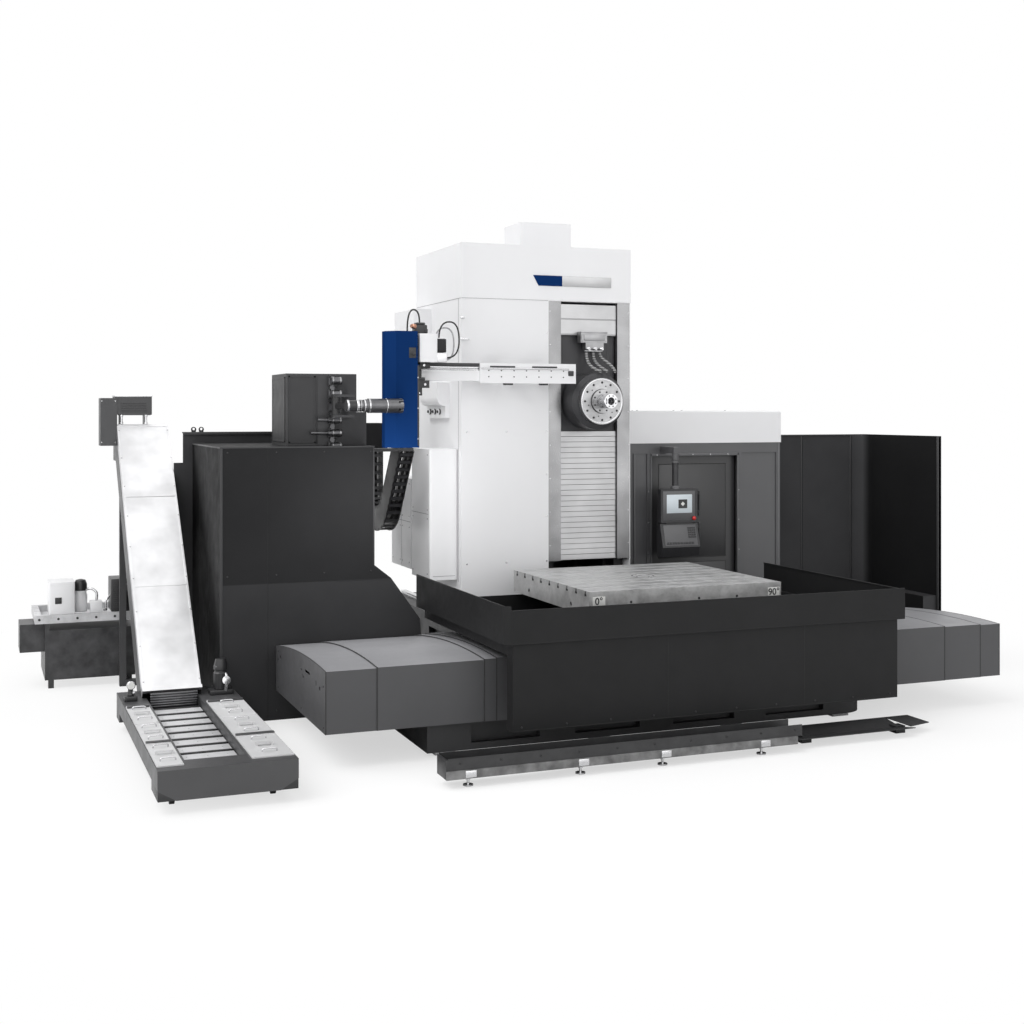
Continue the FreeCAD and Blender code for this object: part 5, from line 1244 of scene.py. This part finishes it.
def make_tank():
    """Handles and edges of the tank's lids, the slats of the belt, pumps, valves and casters."""
    lo, hi = span("tank_lids")
    z = lo[2] + 0.008
    lids = (lo[0], -3.44), (-2.995, hi[0])
    grips, edges = [], []
    for x0, x1 in lids:
        mid = (x0 + x1) / 2
        for y0, y1 in ((-2.56, -1.93), (-1.915, -1.29), (-1.275, -0.65)):
            for f in (0.2, 0.8):
                y = y0 + f * (y1 - y0)
                grips.append(pipe([(mid - 0.05, y, z), (mid - 0.048, y, z + 0.016),
                            (mid - 0.03, y, z + 0.022), (mid + 0.03, y, z + 0.022),
                            (mid + 0.048, y, z + 0.016), (mid + 0.05, y, z)], 0.005, 8, 4))
            edges.append(slab((x0 + 0.002, y1 - 0.012, z - 0.002),
                    (x1 - 0.002, y1 + 0.004, z + 0.006), 0.002))
            edges += screws(
                [(x, y, z) for x in (x0 + 0.012, x1 - 0.012) for y in (y0 + 0.03, y1 - 0.05)], UP,
                0.006, 0.004)
    piece("lid_grips", grips, "steel", "base", sharp=50)
    piece("lid_edges", edges, "lid", "base")
    b_lo, b_hi = span("chip_belt")
    plates, bars, pitch = [], [], 0.215
    for k in range(9):
        y = -2.38 + pitch * k
        plates.append(slab((b_lo[0], y - 0.005, 0.209), (b_hi[0], y + 0.145, 0.2225), 0.003))
        bars.append(slab((b_lo[0], y + 0.152, 0.209), (b_hi[0], y + 0.177, 0.231), 0.003))
        plates += screws(
            [((b_lo[0] + b_hi[0]) / 2 + s, y + 0.06, 0.2225) for s in (-0.14, 0.0, 0.14)], UP,
            0.006, 0.004)
    bars.append(slab((b_lo[0], -2.4, 0.196), (b_hi[0], -0.42, 0.209), 0.002))
    piece("belt_plates", plates, "belt", "base", slot="stainless_sheet", stands_for=("chip_belt",))
    piece("belt_bars", bars, "black", "base")
    mouth = blocks(*((b_lo[0] + 0.01, -0.425 - 0.006 * k, 0.225 + 0.021 * k, b_hi[0] - 0.01,
                -0.412 - 0.006 * k, 0.239 + 0.021 * k, 0.002) for k in range(6)))
    piece("mouth_slats", mouth, "tool", "base")
    t_lo, t_hi = span("coolant_tank")
    wells = blocks(*((x, t_lo[1] + 0.0008, 0.089, x + 0.118, t_lo[1] + 0.33, 0.16, 0.002)
            for x in (t_lo[0] + 0.001, t_hi[0] - 0.119)))
    piece("caster_wells", wells, "black", "base", slot="black_cast")
    cross = blocks(*((x0 + 0.004, y - 0.02, z, x1 - 0.004, y + 0.02, z + 0.016, 0.003)
            for x0, x1 in lids for y in (-1.92, -0.7)))
    piece("lid_cross_bars", cross, "tank", "base")
    make_pumps()
    for k in range(4):
        w_lo, w_hi = span("tank_wheel_%d" % (k + 1))
        c = (w_lo + w_hi) / 2
        hub = [turned([(0.012, 0), (0.022, 0.001), (0.024, 0.004), (0.012, 0.006)],
                (c[0] + s * (w_hi[0] - c[0]), c[1], c[2]), (s, 0, 0), 20) for s in (-1, 1)]
        piece("wheel_hub_%d" % (k + 1), hub, "steel", "wheel_%d" % (k + 1))


PUMP, GAUGE_X = (-2.835, -0.36), -3.55


def make_pumps():
    """Coolant pumps: foot, finned motor with its cap, elbows, hand wheels and a gauge."""
    z = 0.288
    body = [slab((-2.93, -0.43, z), (-2.74, -0.29, z + 0.04), 0.004, 0.01),
        turned([(0.052, 0.0), (0.058, 0.004), (0.058, 0.13), (0.05, 0.14), (0.05, 0.155),
                (0.056, 0.16), (0.056, 0.19), (0.04, 0.245), (0.012, 0.25)], (*PUMP, z + 0.04),
            UP, 28)]
    for a in np.arange(12) * PI2 / 12:
        x, y = PUMP[0] + 0.057 * math.cos(a), PUMP[1] + 0.057 * math.sin(a)
        body.append(
            slab((x - 0.003, y - 0.003, z + 0.05), (x + 0.003, y + 0.003, z + 0.17), 0.001))
    body += [slab((-3.6, -0.43, z), (-3.5, -0.33, z + 0.04), 0.004, 0.01),
        turned([(0.022, 0), (0.026, 0.006), (0.022, 0.02), (0.018, 0.06), (0.022, 0.09)],
            (GAUGE_X, -0.38, z + 0.04), UP, 20)]
    piece("pump_bodies", body, "black", "base", slot="pump_paint", stands_for=("tank_pumps",))
    bright = [pipe([(-2.8, -0.42, z + 0.03), (-2.8, -0.43, z + 0.1), (-2.8, -0.4, z + 0.16),
                (-2.83, -0.36, z + 0.175)], 0.014),
        turned([(0.012, 0), (0.035, 0.003), (0.035, 0.01), (0.014, 0.014)],
            (-2.8, -0.425, z + 0.115), (0.2, -1, 0.3), 20),
        turned([(0.018, 0), (0.018, 0.02), (0.04, 0.024), (0.04, 0.034), (0.03, 0.038)],
            (-2.855, -0.36, z + 0.2), (0.3, -0.4, 0.9), 20),
        collar(0.03, 0.034, 0.004, 0.028, (GAUGE_X, -0.392, z + 0.125), FRONT, 28),
        turned([(0.014, 0), (0.018, 0.004), (0.018, 0.03), (0.012, 0.034)],
            (GAUGE_X, -0.38, z + 0.06), RIGHT, 6)]
    piece("pump_fittings", bright, "steel", "base")
    dial = [turned([(0.028, 0), (0.028, 0.001), (0.002, 0.0015)], (GAUGE_X, -0.4205, z + 0.125),
            FRONT, 28)]
    piece("gauge_dial", dial, "label", "base")


def make_oil_unit():
    """Pump set of the oil unit: white box, motor, ventilated dark box, pipes, frame holes."""
    x0, x1, y0, z = -4.09, -3.272, 1.85, 0.684
    white = [slab((x0 + 0.038, y0 + 0.02, z), (x0 + 0.27, y0 + 0.33, z + 0.301), 0.006, 0.012, 4),
        slab((x0 + 0.41, y0 + 0.04, z), (x0 + 0.52, y0 + 0.16, z + 0.106), 0.006, 0.006, 3),
        turned([(0.056, 0), (0.062, 0.006), (0.062, 0.16), (0.055, 0.17), (0.055, 0.2)],
            (x0 + 0.33, y0 + 0.17, z), UP, 28)]
    white += blocks((x0 + 0.055, y0 + 0.016, z + 0.03, x0 + 0.25, y0 + 0.021, z + 0.27, 0.002))
    piece("oil_white_units", white, "white", "base", slot="white_paint",
        stands_for=("oil_unit_pumps",))
    dark = [slab((x1 - 0.22, y0 + 0.02, z), (x1 - 0.035, y0 + 0.33, z + 0.31), 0.008, 0.01, 4),
        turned([(0.055, 0), (0.06, 0.004), (0.06, 0.06), (0.045, 0.1), (0.015, 0.108)],
            (x0 + 0.33, y0 + 0.17, z + 0.2), UP, 28),
        slab((x0 + 0.09, y0 + 0.011, z + 0.1), (x0 + 0.15, y0 + 0.017, z + 0.16), 0.003)]
    dark += blocks(*((x1 - 0.2, y0 + 0.015, z + 0.04 + 0.02 * k, x1 - 0.055, y0 + 0.021,
                z + 0.048 + 0.02 * k, 0.002) for k in range(12)))
    dark += screws([(x, y0, 0.645) for x in np.arange(x0 - 0.05, x1, 0.17)], FRONT, 0.012, 0.002)
    piece("oil_dark_units", dark, "black", "base", slot="pump_paint")
    pipes = [pipe([(x0 + 0.47, y0 + 0.1, z + 0.1), (x0 + 0.47, y0 + 0.1, z + 0.18),
                (x0 + 0.42, y0 + 0.12, z + 0.22), (x0 + 0.36, y0 + 0.15, z + 0.2)], 0.012),
        collar(0.014, 0.02, 0.004, 0.024, (x0 + 0.55, y0 + 0.09, z + 0.005), UP, 6),
        pipe([(x0 + 0.552, y0 + 0.09, z + 0.02), (x0 + 0.56, y0 + 0.1, z + 0.1),
                (x0 + 0.6, y0 + 0.15, z + 0.14), (x1 - 0.215, y0 + 0.17, z + 0.14)], 0.01)]
    piece("oil_pipes", pipes, "steel", "base", sharp=50)


def make_floor_pieces():
    """Brackets with their nuts and screws, end cap and bolts of the chip trough."""
    lo, hi = span("chip_trough")
    front = lo[1]
    shapes = []
    for x in (-1.525, -0.67, -0.008, 0.833):
        shapes += [slab((x - 0.04, front - 0.001, 0.07), (x + 0.04, front + 0.003, 0.118), 0.001),
            collar(0.012, 0.019, 0.003, 0.015, (x, -2.7, 0.054), UP, 6)]
        shapes += screws([(x + s, front - 0.001, 0.094) for s in (-0.025, 0.025)], FRONT, 0.007,
            0.002)
    piece("trough_brackets", shapes, "steel", "base")
    caps = blocks((lo[0] - 0.002, lo[1] + 0.01, 0.066, lo[0] + 0.016, hi[1], 0.2, 0.003))
    caps += screws([(x, -2.755, 0.17) for x in np.arange(-1.6, 1.1, 0.3)], FRONT, 0.007)
    piece("trough_bolts", caps, "black", "base", slot="black_cast")


# -------------------- stage
LAMPS = (("key_lamp", (-10.0, -6.5, 6.0), "key_power", 60),
    ("fill_lamp", (1.0, -12.0, 2.5), "fill_power", 60),
    ("top_lamp", (0.5, -0.5, 12.0), "top_power", 90),
    ("flank_lamp", (-7.0, 1.0, 10.0), "flank_power", 50),
    ("gap_lamp", (-1.55, -0.9, 1.9), "gap_power", None))


def make_lamps():
    """Distant soft lamps that shine from their places towards the machine, spread over a wide
    angle, and a small one in the gap between magazine and column, unseen by the camera."""
    for name, place, power, spread in LAMPS:
        data = bpy.data.lights.new(name, "SUN" if spread else "POINT")
        data.energy = getattr(settings(), power)
        lamp = linked(name, data)
        lamp.location = place
        if spread:
            data.angle = math.radians(spread)
            lamp.rotation_euler = (-Vector(place)).to_track_quat("-Z", "Y").to_euler()
        else:
            data.shadow_soft_size = 0.35
            lamp.visible_camera = lamp.visible_glossy = False


def make_floor():
    """Round pale floor: matt near the machine, fading into the white surroundings."""
    sides, radius, depth = 96, 60.0, 0.0005
    a = np.linspace(0, PI2, sides + 1)[:-1]
    verts = np.stack([radius * np.cos(a), radius * np.sin(a), np.full(sides, -depth)], 1)
    n = Nodes("studio_floor")
    n.set(Base_Color=(0.93, 0.93, 0.93, 1.0), Roughness=0.9, Specular_IOR_Level=0.1)
    glow = n.new("Emission")
    glow.inputs[0].default_value = (1, 1, 1, 1)
    mix = n.new("MixShader")
    length = n.new("VectorMath", operation="LENGTH")
    n.link(n.where, length.inputs[0])
    fade = n.ramp(length.outputs["Value"], 3.0, 7.0, 0.6, 1.0)
    seen = n.new("Math", operation="MULTIPLY")
    n.link(fade, seen.inputs[0])
    n.link(n.new("LightPath").outputs["Is Camera Ray"], seen.inputs[1])
    n.link(seen.outputs[0], mix.inputs[0])
    n.link(n.shader.outputs[0], mix.inputs[1])
    n.link(glow.outputs[0], mix.inputs[2])
    n.link(mix.outputs[0], n.out.inputs[0])
    floor = add_mesh("studio_floor", verts, [list(range(sides))], n.material, None)


def make_world():
    """White surroundings for the camera and reflections, a soft grey dome for light."""
    world = bpy.data.worlds.new("studio_world")
    bpy.context.scene.world = world
    world.use_nodes = True
    tree = world.node_tree
    tree.nodes.clear()
    out = tree.nodes.new("ShaderNodeOutputWorld")
    mix = tree.nodes.new("ShaderNodeMixShader")
    dome = tree.nodes.new("ShaderNodeBackground")
    dome.inputs["Color"].default_value = (0.97, 0.98, 1.0, 1.0)
    dome.inputs["Strength"].default_value = settings().dome_strength
    white = tree.nodes.new("ShaderNodeBackground")
    white.inputs["Color"].default_value = (1, 1, 1, 1)
    path = tree.nodes.new("ShaderNodeLightPath")
    seen = path.outputs["Is Camera Ray"]
    for ray in ("Is Glossy Ray", "Is Transmission Ray"):
        either = tree.nodes.new("ShaderNodeMath")
        either.operation = "MAXIMUM"
        tree.links.new(seen, either.inputs[0])
        tree.links.new(path.outputs[ray], either.inputs[1])
        seen = either.outputs[0]
    tree.links.new(seen, mix.inputs[0])
    tree.links.new(dome.outputs[0], mix.inputs[1])
    tree.links.new(white.outputs[0], mix.inputs[2])
    tree.links.new(mix.outputs[0], out.inputs[0])


SENSOR_WIDTH, PICTURE_SHIFT, FAR_CLIP = 36.0, -0.09905, 200.0


def make_camera():
    """Camera at a standing eye height, level, with the picture shifted down."""
    s = settings()
    data = bpy.data.cameras.new("photo_camera")
    data.lens = s.lens
    data.sensor_width, data.shift_y, data.clip_end = SENSOR_WIDTH, PICTURE_SHIFT, FAR_CLIP
    camera = linked("photo_camera", data)
    camera.location = s.camera_place
    camera.rotation_euler = (math.pi / 2, 0.0, -s.camera_turn)
    bpy.context.scene.camera = camera


# -------------------- add-on classes
class BoringMachineSettings(bpy.types.PropertyGroup):
    """Sizes and colours of the machine's finish."""
    white_paint: bpy.props.FloatVectorProperty(name="White paint",
        description="Column and cabin roof", subtype="COLOR", default=(0.78, 0.78, 0.79), min=0.0,
        max=1.0)
    dark_paint: bpy.props.FloatVectorProperty(name="Charcoal paint",
        description="Magazine, tray and splash walls", subtype="COLOR",
        default=(0.026, 0.026, 0.027), min=0.0, max=1.0)
    grey_paint: bpy.props.FloatVectorProperty(name="Grey paint",
        description="Way covers, cabin and tank", subtype="COLOR", default=(0.07, 0.07, 0.073),
        min=0.0, max=1.0)
    blue_paint: bpy.props.FloatVectorProperty(name="Blue paint",
        description="Hood of the tool changer", subtype="COLOR", default=(0.006, 0.029, 0.115),
        min=0.0, max=1.0)
    dome_strength: bpy.props.FloatProperty(name="Dome strength",
        description="Light from the surroundings", default=0.24, min=0.0)
    key_power: bpy.props.FloatProperty(name="Key lamp", description="Light from the front left",
        default=0.9, min=0.0)
    fill_power: bpy.props.FloatProperty(name="Fill lamp", description="Light from the front",
        default=1.05, min=0.0)
    top_power: bpy.props.FloatProperty(name="Top lamp", description="Light from overhead",
        default=0.7, min=0.0)
    flank_power: bpy.props.FloatProperty(name="Flank lamp",
        description="Light from high on the left", default=1.7, min=0.0)
    gap_power: bpy.props.FloatProperty(name="Gap lamp",
        description="Light between magazine and column, in watts", default=30.0, min=0.0)
    lens: bpy.props.FloatProperty(name="Lens", description="Focal length in millimetres",
        default=48.046, min=1.0)
    camera_place: bpy.props.FloatVectorProperty(name="Camera place",
        description="Where the camera stands", subtype="XYZ", unit="LENGTH",
        default=(-4.73, -11.63, 2.6))
    camera_turn: bpy.props.FloatProperty(name="Camera turn",
        description="Turn of the view to the right of straight ahead", subtype="ANGLE",
        default=math.radians(21.5856))


class BORE_OT_stage(bpy.types.Operator):
    """Makes the floor, the surroundings, the lamps and the camera"""
    bl_idname = "boring.stage"
    bl_label = "Stage"

    def execute(self, context):
        make_camera()
        make_world()
        make_floor()
        make_lamps()
        return {"FINISHED"}


class BORE_OT_finishes(bpy.types.Operator):
    """Makes the finishes and gives each CAD node its own"""
    bl_idname = "boring.finishes"
    bl_label = "Finishes"

    def execute(self, context):
        FINISH.update(make_finishes())
        dress_nodes()
        return {"FINISHED"}


class BORE_OT_slats(bpy.types.Operator):
    """Makes the slat covers and bellows of the column's slot and ways"""
    bl_idname = "boring.slats"
    bl_label = "Slat covers and bellows"

    def execute(self, context):
        make_slats()
        return {"FINISHED"}


class BORE_OT_column(bpy.types.Operator):
    """Makes the screws, seams, plates and rail of the column"""
    bl_idname = "boring.column"
    bl_label = "Column"

    def execute(self, context):
        make_column()
        make_cabinets()
        make_rail()
        return {"FINISHED"}


class BORE_OT_head(bpy.types.Operator):
    """Makes the bolts, nozzle box and hoses of the headstock"""
    bl_idname = "boring.head"
    bl_label = "Headstock"

    def execute(self, context):
        make_head()
        make_hoses()
        return {"FINISHED"}


class BORE_OT_changer(bpy.types.Operator):
    """Makes the carriage, motors and cables of the tool changer"""
    bl_idname = "boring.changer"
    bl_label = "Tool changer"

    def execute(self, context):
        make_changer()
        return {"FINISHED"}


class BORE_OT_tools(bpy.types.Operator):
    """Makes the waiting tool and the fittings of the tool chain"""
    bl_idname = "boring.tools"
    bl_label = "Tools"

    def execute(self, context):
        make_tools()
        make_chain()
        return {"FINISHED"}


class BORE_OT_magazine(bpy.types.Operator):
    """Makes the trim of the magazine, its cable carrier and the standing walls"""
    bl_idname = "boring.magazine"
    bl_label = "Magazine and walls"

    def execute(self, context):
        make_magazine()
        make_carrier()
        make_walls()
        return {"FINISHED"}


class BORE_OT_cabin(bpy.types.Operator):
    """Makes the door, the trim and the roof screws of the cabin"""
    bl_idname = "boring.cabin"
    bl_label = "Operator cabin"

    def execute(self, context):
        make_cabin()
        return {"FINISHED"}


class BORE_OT_pendant(bpy.types.Operator):
    """Makes the screen, keys and handles of the hanging control station"""
    bl_idname = "boring.pendant"
    bl_label = "Control station"

    def execute(self, context):
        make_pendant()
        return {"FINISHED"}


class BORE_OT_table(bpy.types.Operator):
    """Makes the table's plates and the tray's hems"""
    bl_idname = "boring.table"
    bl_label = "Table and tray"

    def execute(self, context):
        make_table()
        make_tray()
        return {"FINISHED"}


class BORE_OT_covers(bpy.types.Operator):
    """Makes the lips and end fittings of the telescopic covers"""
    bl_idname = "boring.covers"
    bl_label = "Way covers"

    def execute(self, context):
        make_covers()
        return {"FINISHED"}


class BORE_OT_conveyor(bpy.types.Operator):
    """Makes the flanges, rivets and drive of the inclined conveyor"""
    bl_idname = "boring.conveyor"
    bl_label = "Conveyor"

    def execute(self, context):
        make_conveyor()
        return {"FINISHED"}


class BORE_OT_tank(bpy.types.Operator):
    """Makes the lids' fittings, belt, pumps and wheels of the coolant tank"""
    bl_idname = "boring.tank"
    bl_label = "Coolant tank"

    def execute(self, context):
        make_tank()
        return {"FINISHED"}


class BORE_OT_units(bpy.types.Operator):
    """Makes the oil unit's pump set and the trough's brackets"""
    bl_idname = "boring.units"
    bl_label = "Oil unit and trough"

    def execute(self, context):
        make_oil_unit()
        make_floor_pieces()
        return {"FINISHED"}


STEPS = (BORE_OT_stage, BORE_OT_finishes, BORE_OT_slats, BORE_OT_column, BORE_OT_head,
    BORE_OT_changer, BORE_OT_tools, BORE_OT_magazine, BORE_OT_cabin, BORE_OT_pendant,
    BORE_OT_table, BORE_OT_covers, BORE_OT_conveyor, BORE_OT_tank, BORE_OT_units)


class BORE_PT_panel(bpy.types.Panel):
    """Buttons of the machine builder"""
    bl_label = "Boring Machine"
    bl_idname = "BORE_PT_panel"
    bl_space_type = "VIEW_3D"
    bl_region_type = "UI"
    bl_category = "Boring Machine"

    def draw(self, context):
        for step in STEPS:
            self.layout.operator(step.bl_idname)


CLASSES = BoringMachineSettings, *STEPS, BORE_PT_panel


def register():
    """Registers the classes and the scene's settings."""
    for cls in CLASSES:
        bpy.utils.register_class(cls)
    bpy.types.Scene.boring_machine = bpy.props.PointerProperty(type=BoringMachineSettings)


def unregister():
    """Takes the classes and the scene's settings away again."""
    del bpy.types.Scene.boring_machine
    for cls in reversed(CLASSES):
        bpy.utils.unregister_class(cls)


def main():
    """Builds everything in order."""
    register()
    bpy.context.scene.view_settings.view_transform = "Standard"
    for step in STEPS:
        group, name = step.bl_idname.split(".")
        getattr(getattr(bpy.ops, group), name)()


if __name__ == "__main__":
    main()
